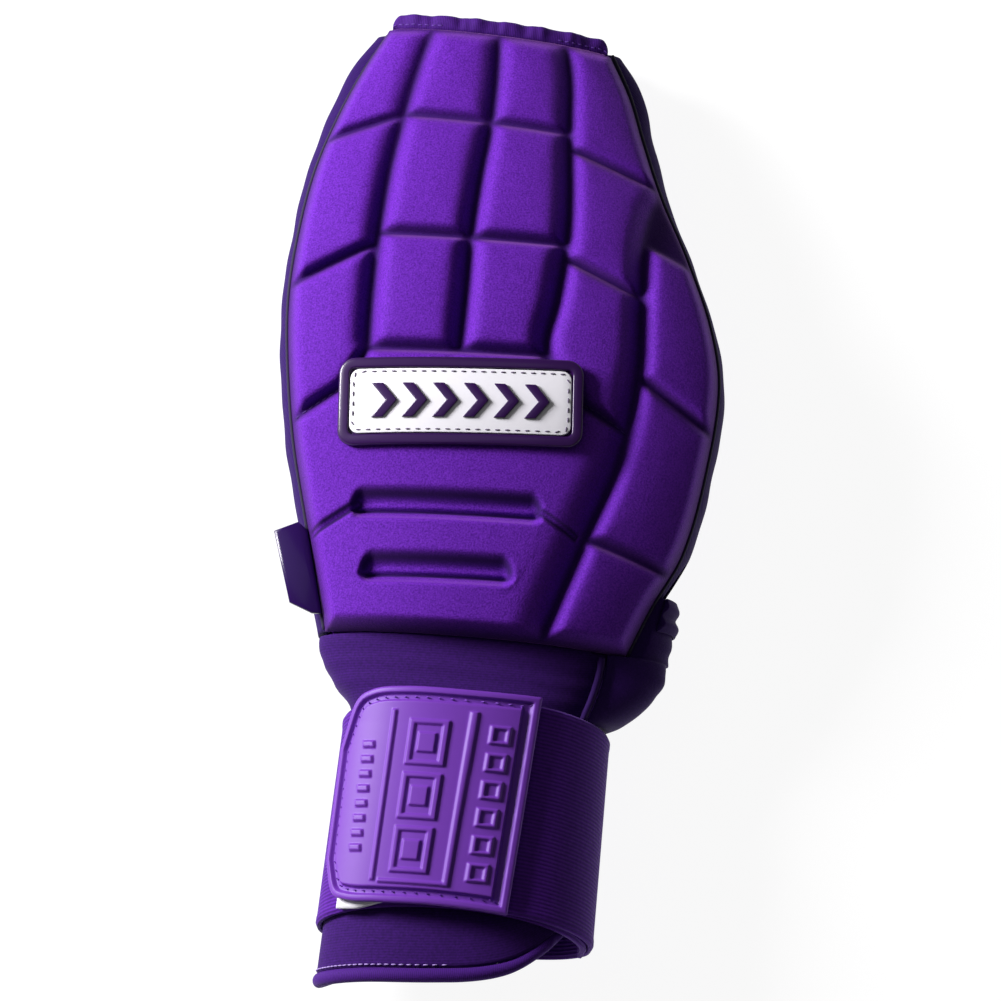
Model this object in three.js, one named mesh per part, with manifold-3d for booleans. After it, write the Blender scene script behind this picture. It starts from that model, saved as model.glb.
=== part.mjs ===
// Sliding mitt: a padded hand guard worn by a base runner.
// Millimetres, +Z up. The mitt lies on its palm, +Y runs from the wrist to the fingertips, +X to the thumb.
import * as THREE from 'three';
import Module from 'manifold-3d';

const wasm = await Module();
wasm.setup();

// Clearance between touching pieces
const GAP = 0.3;

// Back and palm pads
const PAD_LENGTH = 201.5;
const PAD_WIDTH = 138;
const PAD_BASE = 3;
const BLOCK_HEIGHT = 7;
const TIP_BLOCK_HEIGHT = 4.4;
const GROOVE_WIDTH = 3.6;
const BLOCK_CORNER = 2.2;
const BLOCK_LEAN = 0.7;
const BLOCK_EDGE = 1.8;
const SEAM_HEIGHT = 38;
const BACK_ARCH = 13;
const TIP_ARCH = 8;
const CROWN_POWER = 2.4;
const TIP_SLANT = 1.5;
const PALM_EDGE_HEIGHT = 13;
const PALM_BLOCK_HEIGHT = 3.5;
const PALM_GROOVE_WIDTH = 9;

// Soft side walls
const GUSSET_WALL = 2.2;
const GUSSET_BULGE = 3.3;
const SEAM_INSET = 0.4;
const THUMB_HOLE_HEIGHT = 15;
const THUMB_HOLE_DEPTH = 15;

// Gathered tip hems
const HEM_HEIGHT = 5;
const HEM_THICKNESS = 2.6;
const HEM_WAVE = 0.7;
const HEM_WAVES = 7;

// Badge on the back of the hand
const BADGE_X = -12.6;
const BADGE_Y = 72;
const BADGE_LENGTH = 77;
const BADGE_HEIGHT = 28;
const BADGE_TURN = THREE.MathUtils.degToRad(3.5);
const BADGE_CORNER = 5;
const BADGE_FLOOR = 1;
const BADGE_RIM = 3.4;
const BADGE_RIM_RISE = 1.5;
const BADGE_PLATE = 0.9;
const CHEVRON_COUNT = 6;
const CHEVRON_PITCH = 9.6;
const CHEVRON_BAND = 3.6;
const CHEVRON_HEIGHT = 11;
const CHEVRON_POINT = 4.5;
const CHEVRON_RISE = 0.8;

// Relief slots across the heel of the back pad
const SLOT_WIDTH = 7;
const SLOT_DEPTH = 3.4;

// Side tag in the left seam
const TAG_LENGTH = 26.5;
const TAG_REACH = 10.5;
const TAG_THICKNESS = 2.2;
const TAG_Y = 5;
const TAG_SLANT = 4;

// Cuff
const CUFF_WALL = 2.5;
const CUFF_TONGUE = 14;
const CUFF_LENGTH = 106;
const CUFF_FLARE_LENGTH = 30;
const WRIST_LEFT = 38.8;
const WRIST_RIGHT = 39.3;
const WRIST_HEIGHT = 48;
const CUFF_END_SPREAD = 3.2;
const ROOT_LEFT = 51;
const ROOT_RIGHT = 44.5;
const BINDING_WIDTH = 4.6;
const BINDING_THICKNESS = 4.2;

// Wrist strap, its patch and hook pad
const STRAP_WIDTH = 66.5;
const STRAP_THICKNESS = 2;
const STRAP_TOP = -28;
const STRAP_CREST = 8;
const STRAP_STEP_DOWN = 1.5;
const STRAP_START_ANGLE = -10;
const STRAP_LIFT_START = 310;
const STRAP_LIFT_END = 345;
const STRAP_END_ANGLE = 440;
const PATCH_START_ANGLE = 69;
const PATCH_END_ANGLE = 150;
const PATCH_SKEW = 3.5;
const PATCH_HEIGHT = 69;
const PATCH_BASE = 1.4;
const PATCH_RISE = 0.9;
const PATCH_RIM = 2.2;
const PATCH_CHANNEL = 2.2;
const HOOK_START_ANGLE = 83;
const HOOK_END_ANGLE = 143;
const HOOK_THICKNESS = 1.7;
const HOOK_HEIGHT = 65;

// Thumb gusset
const THUMB_RISE = 20;
const THUMB_DROP = 23;
const THUMB_BULGE = 13.5;
const THUMB_WALL = 1.5;
const THUMB_HALF_ANGLE = 28;
const THUMB_HEM_WIDTH = 10.5;
const THUMB_HEM_THICKNESS = 2;
const PIPING_DIAMETER = 2.2;
const PIPING_ANGLE = 35;

// Angle between two neighbouring sections round the wrist, in degrees
const ANGLE_STEP = 10;

// Outline of both pads: place along the length, and each edge as a share of half the width
const PAD_ROWS = [
  { along: 0.00, left: 0.710, right: 0.670 },
  { along: 0.08, left: 0.770, right: 0.765 },
  { along: 0.17, left: 0.840, right: 0.890 },
  { along: 0.30, left: 0.935, right: 0.965 },
  { along: 0.44, left: 1.000, right: 0.995 },
  { along: 0.54, left: 1.020, right: 0.935 },
  { along: 0.65, left: 1.000, right: 0.805 },
  { along: 0.75, left: 0.955, right: 0.665 },
  { along: 0.85, left: 0.870, right: 0.555 },
  { along: 0.93, left: 0.780, right: 0.475 },
  { along: 1.00, left: 0.680, right: 0.375 },
];

// Height of the back seam and depth of the side walls' bulge along the pads, as shares
const SEAM_ROWS = [
  { along: 0.00, height: 0.90, bulge: 0.85 },
  { along: 0.17, height: 0.95, bulge: 0.95 },
  { along: 0.38, height: 1.00, bulge: 1.00 },
  { along: 0.66, height: 0.90, bulge: 1.00 },
  { along: 0.86, height: 0.72, bulge: 1.50 },
  { along: 0.95, height: 0.61, bulge: 1.75 },
  { along: 1.00, height: 0.56, bulge: 1.20 },
];

// Long grooves between the columns of blocks: share of half the width at each place along the pad
const RIM_LEFT = [{ along: 0, across: -1 }, { along: 1, across: -1 }];
const RIM_RIGHT = [{ along: 0, across: 1 }, { along: 1, across: 1 }];
const GROOVE_A = [
  { along: 0.452, across: -0.626 }, { along: 0.540, across: -0.607 }, { along: 0.649, across: -0.587 },
  { along: 0.747, across: -0.568 }, { along: 0.845, across: -0.568 }, { along: 1.000, across: -0.607 },
];
const GROOVE_B = [
  { along: 0.452, across: -0.205 }, { along: 0.540, across: -0.166 }, { along: 0.649, across: -0.117 },
  { along: 0.747, across: -0.049 }, { along: 0.845, across: 0.000 }, { along: 1.000, across: -0.010 },
];
const GROOVE_C = [
  { along: 0.378, across: 0.352 }, { along: 0.452, across: 0.196 }, { along: 0.540, across: 0.264 },
  { along: 0.649, across: 0.372 }, { along: 0.747, across: 0.460 }, { along: 0.845, across: 0.509 },
  { along: 1.000, across: 0.587 },
];
const GROOVE_D = [
  { along: 0.000, across: 0.427 }, { along: 0.079, across: 0.460 }, { along: 0.167, across: 0.477 },
  { along: 0.295, across: 0.577 }, { along: 0.442, across: 0.621 }, { along: 0.540, across: 0.665 },
  { along: 0.649, across: 0.773 }, { along: 0.707, across: 0.881 }, { along: 0.757, across: 1.000 },
  { along: 1.000, across: 1.000 },
];

// Raised blocks of the back pad. Each lies between two long grooves, with the places along the
// pad of its low and high edges at the left and the right groove, and bends in those edges.
const BACK_BLOCKS = [
  { left: RIM_LEFT, right: GROOVE_A, low: [0.324, 0.442], high: [0.543, 0.615], bend: [-0.744, 0.378] },
  { left: RIM_LEFT, right: GROOVE_A, low: [0.543, 0.615], high: [0.793, 0.840] },
  { left: RIM_LEFT, right: GROOVE_A, low: [0.793, 0.840], high: [1, 1] },
  { left: GROOVE_A, right: GROOVE_B, low: [0.442, 0.446], high: [0.633, 0.635] },
  { left: GROOVE_A, right: GROOVE_B, low: [0.633, 0.635], high: [0.842, 0.840] },
  { left: GROOVE_A, right: GROOVE_B, low: [0.842, 0.840], high: [1, 1] },
  { left: GROOVE_B, right: GROOVE_C, low: [0.446, 0.450], high: [0.635, 0.637] },
  { left: GROOVE_B, right: GROOVE_C, low: [0.635, 0.637], high: [0.840, 0.835] },
  { left: GROOVE_B, right: GROOVE_C, low: [0.840, 0.835], high: [1, 1] },
  { left: GROOVE_C, right: GROOVE_D, low: [0.378, 0.338], high: [0.614, 0.563] },
  { left: GROOVE_C, right: GROOVE_D, low: [0.614, 0.563], high: [0.808, 0.760] },
  { left: GROOVE_C, right: RIM_RIGHT, low: [0.808, 0.760], high: [1, 1] },
  { left: GROOVE_D, right: RIM_RIGHT, low: [0.432, 0.356], high: [0.660, 0.629] },
  { left: GROOVE_D, right: RIM_RIGHT, low: [0.166, 0.129], high: [0.432, 0.356] },
  { left: GROOVE_D, right: RIM_RIGHT, low: [0, 0], high: [0.166, 0.129] },
];

// The broad block over the back of the hand: corners as shares across and along, from the heel
const HEEL_TOP = [
  { across: 0.352, along: 0.378 }, { across: 0.196, along: 0.450 }, { across: -0.626, along: 0.442 },
  { across: -0.744, along: 0.378 },
];
const HEEL_TOP_RIGHT = 0.338;
const HEEL_TOP_LEFT = 0.324;

// Relief slots: both ends as shares across and along the pad
const SLOTS = [
  { fromAcross: -0.72, fromAlong: 0.192, toAcross: 0.20, toAlong: 0.199, width: 1 },
  { fromAcross: -0.93, fromAlong: 0.155, toAcross: -0.75, toAlong: 0.196, width: 0.6 },
  { fromAcross: -0.70, fromAlong: 0.093, toAcross: 0.12, toAlong: 0.098, width: 1 },
];

// Flat blocks of the palm pad: low and high edges along the pad, and their share of its width
const PALM_BLOCKS = [
  { low: 0.035, high: 0.270, across: 0.84 },
  { low: 0.290, high: 0.520, across: 0.86 },
  { low: 0.540, high: 0.750, across: 0.84 },
  { low: 0.770, high: 0.955, across: 0.80 },
];

// Cuff between the wrist and the pads: share of the flare's length, and share of its width
const FLARE_ROWS = [
  { along: 0.00, flare: 0.00 },
  { along: 0.20, flare: 0.00 },
  { along: 0.28, flare: 0.05 },
  { along: 0.47, flare: 0.46 },
  { along: 0.72, flare: 0.86 },
  { along: 0.90, flare: 1.00 },
  { along: 1.00, flare: 1.00 },
];

// Far edge of the cuff: share of a turn from the thumb side over the back, and share of its length
const CUFF_END_ROWS = [
  { along: 0.00, reach: 0.72 },
  { along: 0.06, reach: 0.78 },
  { along: 0.12, reach: 0.865 },
  { along: 0.18, reach: 0.945 },
  { along: 0.25, reach: 0.985 },
  { along: 0.35, reach: 1.00 },
  { along: 0.50, reach: 1.01 },
  { along: 0.58, reach: 0.98 },
  { along: 0.66, reach: 0.92 },
  { along: 0.75, reach: 0.885 },
  { along: 0.82, reach: 0.855 },
  { along: 0.90, reach: 0.78 },
  { along: 0.96, reach: 0.73 },
  { along: 1.00, reach: 0.72 },
];

// Thumb gusset along the hand: share of its rise above the pads' edge or drop below it, and bulge
const THUMB_ROWS = [
  { along: 1.00, bulge: 0.36 },
  { along: 0.60, bulge: 0.62 },
  { along: 0.30, bulge: 0.85 },
  { along: 0.00, bulge: 0.98 },
  { along: -0.12, bulge: 0.99 },
  { along: -0.31, bulge: 1.00 },
  { along: -0.64, bulge: 0.76 },
  { along: -0.91, bulge: 0.40 },
  { along: -1.00, bulge: 0.10 },
];

// Rolled hem of the thumb gusset: share of its width, and share of its thickness
const THUMB_HEM_ROWS = [
  { along: 0.00, thickness: 0.35 },
  { along: 0.25, thickness: 1.00 },
  { along: 0.50, thickness: 0.45 },
  { along: 0.75, thickness: 0.95 },
  { along: 1.00, thickness: 0.40 },
];

// Outline of the strap's patch: place along it from the strap's end, and both edges as shares
const PATCH_ROWS = [
  { along: 0.00, top: 1.00, bottom: 1.00 },
  { along: 0.30, top: 1.00, bottom: 0.97 },
  { along: 0.60, top: 1.00, bottom: 0.97 },
  { along: 0.80, top: 0.96, bottom: 0.96 },
  { along: 0.92, top: 0.82, bottom: 0.88 },
  { along: 1.00, top: 0.42, bottom: 0.60 },
];

// Raised bars of the patch, as shares of its length and half its height
const PATCH_BARS = [
  { from: 0.12, to: 0.20, low: -0.76, high: 0.76 },
  { from: 0.27, to: 0.31, low: -0.76, high: 0.76 },
  { from: 0.38, to: 0.56, low: -0.70, high: -0.30 },
  { from: 0.38, to: 0.56, low: -0.20, high: 0.20 },
  { from: 0.38, to: 0.56, low: 0.30, high: 0.70 },
  { from: 0.63, to: 0.66, low: -0.76, high: 0.76 },
  { from: 0.74, to: 0.82, low: -0.50, high: 0.50 },
];

const lerp = THREE.MathUtils.lerp;
const rad = THREE.MathUtils.degToRad;

/** Reads a column of a table at a place along it, on a smooth curve through its rows. */
function follow(rows, column, at) {
  const last = rows.length - 1;
  const place = THREE.MathUtils.clamp(at, Math.min(rows[0].along, rows[last].along),
    Math.max(rows[0].along, rows[last].along));
  const rising = rows[last].along > rows[0].along;
  let i = 0;
  while (i < last - 1 && (rising ? rows[i + 1].along < place : rows[i + 1].along > place)) i += 1;
  const slope = (k) => {
    const a = rows[Math.max(k - 1, 0)];
    const b = rows[Math.min(k + 1, last)];
    return (b[column] - a[column]) / (b.along - a.along);
  };
  const span = rows[i + 1].along - rows[i].along;
  const t = (place - rows[i].along) / span;
  const h00 = 2 * t ** 3 - 3 * t ** 2 + 1;
  const h10 = t ** 3 - 2 * t ** 2 + t;
  const h01 = 3 * t ** 2 - 2 * t ** 3;
  const h11 = t ** 3 - t ** 2;
  return h00 * rows[i][column] + h10 * span * slope(i) + h01 * rows[i + 1][column] + h11 * span * slope(i + 1);
}

/** Splits the stretch from a to b into steps equal parts. */
const steps = (a, b, count) => Array.from({ length: count + 1 }, (_, i) => lerp(a, b, i / count));

// Surfaces of the pads

const edgeX = (side, y) => (PAD_WIDTH / 2) * side
  * follow(PAD_ROWS, side < 0 ? 'left' : 'right', y / PAD_LENGTH);
const middleX = (y) => (edgeX(-1, y) + edgeX(1, y)) / 2;
const halfWidth = (y) => (edgeX(1, y) - edgeX(-1, y)) / 2;
const acrossAt = (x, y) => THREE.MathUtils.clamp(Math.abs(x - middleX(y)) / halfWidth(y), 0, 1);
const seamHeight = (y) => SEAM_HEIGHT * follow(SEAM_ROWS, 'height', y / PAD_LENGTH);
const arch = (y) => lerp(BACK_ARCH, TIP_ARCH, THREE.MathUtils.smoothstep(y / PAD_LENGTH, 0.5, 1));
const crown = (x, y) => 1 - acrossAt(x, y) ** CROWN_POWER;
const backUnder = (x, y) => seamHeight(y) + arch(y) * crown(x, y);
const backTop = (x, y) => backUnder(x, y) + PAD_BASE;
const blockHeight = (y) => lerp(BLOCK_HEIGHT, TIP_BLOCK_HEIGHT,
  THREE.MathUtils.smoothstep(y / PAD_LENGTH, 0.55, 1));
const blockTop = (x, y) => backTop(x, y) + blockHeight(y);
const palmOver = (x, y) => PALM_EDGE_HEIGHT
  - (PALM_EDGE_HEIGHT - PALM_BLOCK_HEIGHT - PAD_BASE) * crown(x, y);
const palmUnder = (x, y) => palmOver(x, y) - PAD_BASE;

/** Place on the pads of a share across, from -1 to 1, and a share along, from 0 to 1. */
function onPad(across, along) {
  const y = PAD_LENGTH * along;
  return [middleX(y) + across * halfWidth(y), y - TIP_SLANT * along ** 4 * across];
}

// Solids

/** A mesh geometry from points and triangles, turned so that its faces point outwards. */
function closedGeometry(points, triangles) {
  let volume = 0;
  for (const [a, b, c] of triangles) {
    const [p, q, r] = [points[a], points[b], points[c]];
    volume += p[0] * (q[1] * r[2] - q[2] * r[1]) - p[1] * (q[0] * r[2] - q[2] * r[0])
      + p[2] * (q[0] * r[1] - q[1] * r[0]);
  }
  const facing = volume < 0 ? triangles.map(([a, b, c]) => [a, c, b]) : triangles;
  const geometry = new THREE.BufferGeometry();
  geometry.setAttribute('position', new THREE.Float32BufferAttribute(points.flat(), 3));
  geometry.setIndex(facing.flat());
  return geometry;
}

/** Skins rings of equal length. An open skin is capped across each end ring, from edge to edge. */
function loft(rings, closed = false) {
  const size = rings[0].length;
  const triangles = [];
  const joins = closed ? rings.length : rings.length - 1;
  for (let r = 0; r < joins; r += 1) {
    const next = (r + 1) % rings.length;
    for (let i = 0; i < size; i += 1) {
      const [a, b] = [r * size + i, r * size + ((i + 1) % size)];
      const [c, d] = [next * size + ((i + 1) % size), next * size + i];
      triangles.push([a, b, c], [a, c, d]);
    }
  }
  if (!closed) {
    for (const [ring, turned] of [[0, true], [rings.length - 1, false]]) {
      for (let i = 0; i < size / 2 - 1; i += 1) {
        const [a, b, c, d] = [i, i + 1, size - 2 - i, size - 1 - i].map((k) => ring * size + k);
        triangles.push(...(turned ? [[a, c, b], [a, d, c]] : [[a, b, c], [a, c, d]]));
      }
    }
  }
  return closedGeometry(rings.flat(), triangles);
}

/** A sheet with a thickness: rows of places, each with a low and a high point. */
function sheet(rows) {
  return loft(rows.map((row) => [
    ...row.map(({ high }) => high),
    ...row.map(({ low }) => low).reverse(),
  ]));
}

/** Moves each side of an outline inwards. The outline runs anticlockwise. */
function inset(outline, distance) {
  const count = outline.length;
  return outline.map((point, i) => {
    const before = outline[(i + count - 1) % count];
    const after = outline[(i + 1) % count];
    const first = new THREE.Vector2(point[0] - before[0], point[1] - before[1]).normalize();
    const second = new THREE.Vector2(after[0] - point[0], after[1] - point[1]).normalize();
    const spread = 1 + first.dot(second);
    return [
      point[0] - (distance * (first.y + second.y)) / spread,
      point[1] + (distance * (first.x + second.x)) / spread,
    ];
  });
}

/** Cuts the corners of an outline that turn by more than about thirty degrees. */
function cutCorners(outline, size) {
  const count = outline.length;
  return outline.flatMap((point, i) => {
    const here = new THREE.Vector2(...point);
    const back = new THREE.Vector2(...outline[(i + count - 1) % count]).sub(here);
    const ahead = new THREE.Vector2(...outline[(i + 1) % count]).sub(here);
    if (Math.abs(back.angleTo(ahead)) > rad(150)) return [point];
    const reach = (way) => Math.min(size, way.length() * 0.45);
    return [back, ahead].map((way) => {
      const cut = here.clone().addScaledVector(way.clone().normalize(), reach(way));
      return [cut.x, cut.y];
    });
  });
}

/** A solid skinned through levels: the shape gives each one's outline from how far it lies inwards. */
function prism(shape, levels) {
  const rings = levels.map(({ inwards, height }) => shape(inwards)
    .map(([x, y]) => [x, y, typeof height === 'number' ? height : height(x, y)]));
  const size = rings[0].length;
  const triangles = [];
  for (let r = 0; r < rings.length - 1; r += 1) {
    for (let i = 0; i < size; i += 1) {
      const [a, b] = [r * size + i, r * size + ((i + 1) % size)];
      const [c, d] = [b + size, a + size];
      triangles.push([a, b, c], [a, c, d]);
    }
  }
  for (const [ring, turned] of [[0, true], [rings.length - 1, false]]) {
    const flat = rings[ring].map(([x, y]) => new THREE.Vector2(x, y));
    for (const face of THREE.ShapeUtils.triangulateShape(flat, [])) {
      const [a, b, c] = face.map((k) => ring * size + k);
      triangles.push(turned ? [a, c, b] : [a, b, c]);
    }
  }
  return closedGeometry(rings.flat(), triangles);
}

/** The solid that manifold joins and cuts. */
function solid(geometry) {
  return new wasm.Manifold(new wasm.Mesh({
    numProp: 3,
    vertProperties: new Float32Array(geometry.getAttribute('position').array),
    triVerts: new Uint32Array(geometry.getIndex().array),
  }));
}

/** The mesh geometry of a joined or cut solid. */
function geometryOf(body) {
  const mesh = body.getMesh();
  const geometry = new THREE.BufferGeometry();
  geometry.setAttribute('position', new THREE.BufferAttribute(new Float32Array(mesh.vertProperties), 3));
  geometry.setIndex(new THREE.BufferAttribute(new Uint32Array(mesh.triVerts), 1));
  return geometry;
}

const joined = (bodies) => bodies.reduce((all, body) => all.add(body));

// Pads

const ABOVE_ALL = 2 * (SEAM_HEIGHT + BACK_ARCH + PAD_BASE + BLOCK_HEIGHT);
const BELOW_ALL = -ABOVE_ALL;
const PAD_STATIONS = [0, 0.05, 0.13, 0.24, 0.36, 0.48, 0.58, 0.67, 0.76, 0.84, 0.91, 0.96, 1];
const PAD_COLUMNS = [-1, -0.92, -0.78, -0.6, -0.36, -0.12, 0.12, 0.36, 0.6, 0.78, 0.92, 1];

/** A layer over the whole outline of the pads, between two surfaces. */
function padLayer(low, high) {
  return solid(sheet(PAD_STATIONS.map((along) => PAD_COLUMNS.map((across) => {
    const [x, y] = onPad(across, along);
    return { low: [x, y, low(x, y)], high: [x, y, high(x, y)] };
  }))));
}

/** Places along one groove from one end of a block to the other. */
function alongGroove(groove, from, to) {
  const count = Math.max(1, Math.round(Math.abs(to - from) / 0.09));
  return steps(from, to, count).map((along) => onPad(follow(groove, 'across', along), along));
}

/** The outline of a block between its grooves, before the grooves take their width. */
function blockOutline({ left, right, low, high, bend }) {
  const bends = bend ? [onPad(...bend)] : [];
  return [...alongGroove(left, high[0], low[0]), ...bends, ...alongGroove(right, low[1], high[1])];
}

/** The column that a block is cut from: it leans in, with a rounded top edge. */
function blockColumn(outline) {
  const shape = (inwards) => cutCorners(inset(outline, GROOVE_WIDTH / 2 + inwards), BLOCK_CORNER);
  const rise = (share, drop) => (x, y) => backTop(x, y) + blockHeight(y) * share - drop;
  return solid(prism(shape, [
    { inwards: 0, height: BELOW_ALL },
    { inwards: 0, height: rise(0, PAD_BASE / 2) },
    { inwards: BLOCK_LEAN, height: rise(1, BLOCK_EDGE) },
    { inwards: BLOCK_LEAN + BLOCK_EDGE * 0.8, height: rise(1, 0) },
    { inwards: BLOCK_LEAN + BLOCK_EDGE * 1.2, height: ABOVE_ALL },
  ]));
}

/** The outline of the broad block over the back of the hand. */
function heelOutline() {
  return [
    ...alongGroove(RIM_LEFT, HEEL_TOP_LEFT, 0),
    ...alongGroove(GROOVE_D, 0, HEEL_TOP_RIGHT),
    ...HEEL_TOP.map(({ across, along }) => onPad(across, along)),
  ];
}

/** The space that one relief slot takes out of the pad. */
function slotSpace({ fromAcross, fromAlong, toAcross, toAlong, width }) {
  const from = new THREE.Vector2(...onPad(fromAcross, fromAlong));
  const to = new THREE.Vector2(...onPad(toAcross, toAlong));
  const way = to.clone().sub(from).normalize();
  const half = (SLOT_WIDTH * width) / 2;
  const side = new THREE.Vector2(-way.y, way.x).multiplyScalar(half);
  const reach = way.clone().multiplyScalar(half);
  const corner = (end, forward, aside) => {
    const at = end.clone().addScaledVector(reach, forward).addScaledVector(side, aside);
    return [at.x, at.y];
  };
  const outline = [
    corner(from, 0, -1), corner(to, 0, -1), corner(to, 1, -0.3),
    corner(to, 1, 0.3), corner(to, 0, 1), corner(from, 0, 1),
    corner(from, -1, 0.3), corner(from, -1, -0.3),
  ];
  const floor = (x, y) => blockTop(x, y) - SLOT_DEPTH * width;
  return solid(prism((inwards) => inset(outline, inwards), [
    { inwards: half * 0.55, height: floor },
    { inwards: 0, height: blockTop },
    { inwards: -half * 0.4, height: ABOVE_ALL },
  ]));
}

function makeBackPad() {
  const base = padLayer(backUnder, backTop);
  const raised = padLayer((x, y) => backTop(x, y) - PAD_BASE / 2, blockTop);
  const columns = [...BACK_BLOCKS.map(blockOutline), heelOutline()].map(blockColumn);
  const slots = joined(SLOTS.map(slotSpace));
  return geometryOf(base.add(raised.intersect(joined(columns)).subtract(slots)));
}

function makePalmPad() {
  const base = padLayer(palmUnder, palmOver);
  const blocks = PALM_BLOCKS.map(({ low, high, across }) => {
    const count = 3;
    const outline = [
      ...steps(high, low, count).map((along) => onPad(-across, along)),
      ...steps(low, high, count).map((along) => onPad(across, along)),
    ];
    return solid(prism((inwards) => cutCorners(inset(outline, inwards), PALM_GROOVE_WIDTH / 2), [
      { inwards: BLOCK_EDGE / 2, height: 0 },
      { inwards: 0, height: BLOCK_EDGE / 2 },
      { inwards: 0, height: ABOVE_ALL },
    ]));
  });
  const below = padLayer(() => BELOW_ALL, (x, y) => palmOver(x, y) - PAD_BASE / 2);
  return geometryOf(base.add(below.intersect(joined(blocks))));
}

// Side gussets

/** One point of a side wall: share of its height, and depth into the wall. */
function gussetPoint(side, y, share, depth) {
  const edge = edgeX(side, y);
  const low = palmOver(edge, y) + GAP;
  const high = backUnder(edge, y) - GAP;
  const bulge = GUSSET_BULGE * follow(SEAM_ROWS, 'bulge', y / PAD_LENGTH);
  const out = bulge * Math.sin(Math.PI * share) ** 0.6;
  return [edge + side * (out - depth - SEAM_INSET), y, lerp(low, high, share)];
}

const GUSSET_SHARES = [0, 0.06, 0.2, 0.4, 0.6, 0.8, 0.94, 1];

function gussetWall(side, start) {
  const stations = steps(start, PAD_LENGTH, 12);
  return sheet(stations.map((y) => GUSSET_SHARES.map((share) => ({
    high: gussetPoint(side, y, share, 0),
    low: gussetPoint(side, y, share, GUSSET_WALL),
  }))));
}

/** The right wall stops above the thumb, with a rounded bite for it. */
function makeRightGusset() {
  const start = THUMB_RISE + 2 * GAP;
  const edge = edgeX(1, start);
  const middle = (palmOver(edge, start) + backUnder(edge, start)) / 2;
  const bite = new THREE.CylinderGeometry(1, 1, PAD_WIDTH, 24);
  bite.rotateZ(Math.PI / 2);
  bite.scale(1, THUMB_HOLE_DEPTH, THUMB_HOLE_HEIGHT / 2);
  bite.translate(edge, start, middle);
  return geometryOf(solid(gussetWall(1, start)).subtract(solid(mergedByPlace(bite))));
}

/** The same geometry with the points at one place made one. */
function mergedByPlace(geometry) {
  const places = geometry.getAttribute('position');
  const known = new Map();
  const points = [];
  const numbers = Array.from({ length: places.count }, (_, i) => {
    const point = [places.getX(i), places.getY(i), places.getZ(i)];
    const key = point.map((value) => value.toFixed(4)).join(' ');
    if (!known.has(key)) {
      known.set(key, points.length);
      points.push(point);
    }
    return known.get(key);
  });
  const index = geometry.getIndex().array;
  const triangles = [];
  for (let i = 0; i < index.length; i += 3) {
    const face = [numbers[index[i]], numbers[index[i + 1]], numbers[index[i + 2]]];
    if (new Set(face).size === 3) triangles.push(face);
  }
  return closedGeometry(points, triangles);
}

// Tip hems

/** A gathered elastic hem beyond the tip edge, in the thickness of the pad it is sewn to. */
function tipHem(middleHeight) {
  const sides = 6;
  const rings = steps(-0.97, 0.97, 21).map((across) => {
    const [x, y] = onPad(across, 1);
    const wave = HEM_WAVE * Math.sin(across * Math.PI * HEM_WAVES);
    return Array.from({ length: sides }, (_, k) => {
      const turn = ((k + 0.5) / sides) * 2 * Math.PI;
      const along = (HEM_HEIGHT / 2) * (1 + Math.cos(turn)) + GAP;
      return [x, y + along, middleHeight(x, y) + wave * (along / HEM_HEIGHT)
        + (HEM_THICKNESS / 2) * Math.sin(turn)];
    });
  });
  return loft(rings);
}

// Badge

/** A rectangle with round corners on the badge's turned axes. */
function badgeOutline(length, height, corner) {
  const outline = [];
  for (const [sx, sy, first] of [[1, -1, -90], [1, 1, 0], [-1, 1, 90], [-1, -1, 180]]) {
    for (const turn of [0, 45, 90]) {
      const a = rad(first + turn);
      outline.push([
        sx * (length / 2 - corner) + corner * Math.cos(a),
        sy * (height / 2 - corner) + corner * Math.sin(a),
      ]);
    }
  }
  return outline.map(onBadge);
}

/** Turns and moves a place on the badge to its place on the pad. */
function onBadge([x, y]) {
  return [
    BADGE_X + x * Math.cos(BADGE_TURN) - y * Math.sin(BADGE_TURN),
    BADGE_Y + x * Math.sin(BADGE_TURN) + y * Math.cos(BADGE_TURN),
  ];
}

/** A layer that follows the pad under the badge, between two rises over the blocks. */
function badgeLayer(low, high) {
  const reach = 1.1;
  return solid(sheet(steps(-reach, reach, 3).map((row) => steps(-reach, reach, 8).map((column) => {
    const [x, y] = onBadge([(column * BADGE_LENGTH) / 2, (row * BADGE_HEIGHT) / 2]);
    const top = blockTop(x, y);
    return { low: [x, y, top + low], high: [x, y, top + high] };
  }))));
}

const upright = (outline) => solid(prism(() => outline, [
  { inwards: 0, height: 0 },
  { inwards: 0, height: ABOVE_ALL },
]));

/** One arrow-like bar of the badge's row, grown by a margin. */
function chevron(number, margin) {
  const middle = (number - (CHEVRON_COUNT - 1) / 2) * CHEVRON_PITCH;
  const band = CHEVRON_BAND / 2 + margin;
  const half = CHEVRON_HEIGHT / 2 + margin;
  const outline = [
    [-band - CHEVRON_POINT / 2, -half], [band - CHEVRON_POINT / 2, -half],
    [band + CHEVRON_POINT / 2, 0], [band - CHEVRON_POINT / 2, half],
    [-band - CHEVRON_POINT / 2, half], [-band + CHEVRON_POINT / 2, 0],
  ];
  return upright(outline.map(([x, y]) => onBadge([x + middle, y])));
}

const chevrons = (margin) => joined(Array.from({ length: CHEVRON_COUNT }, (_, i) => chevron(i, margin)));

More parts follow.
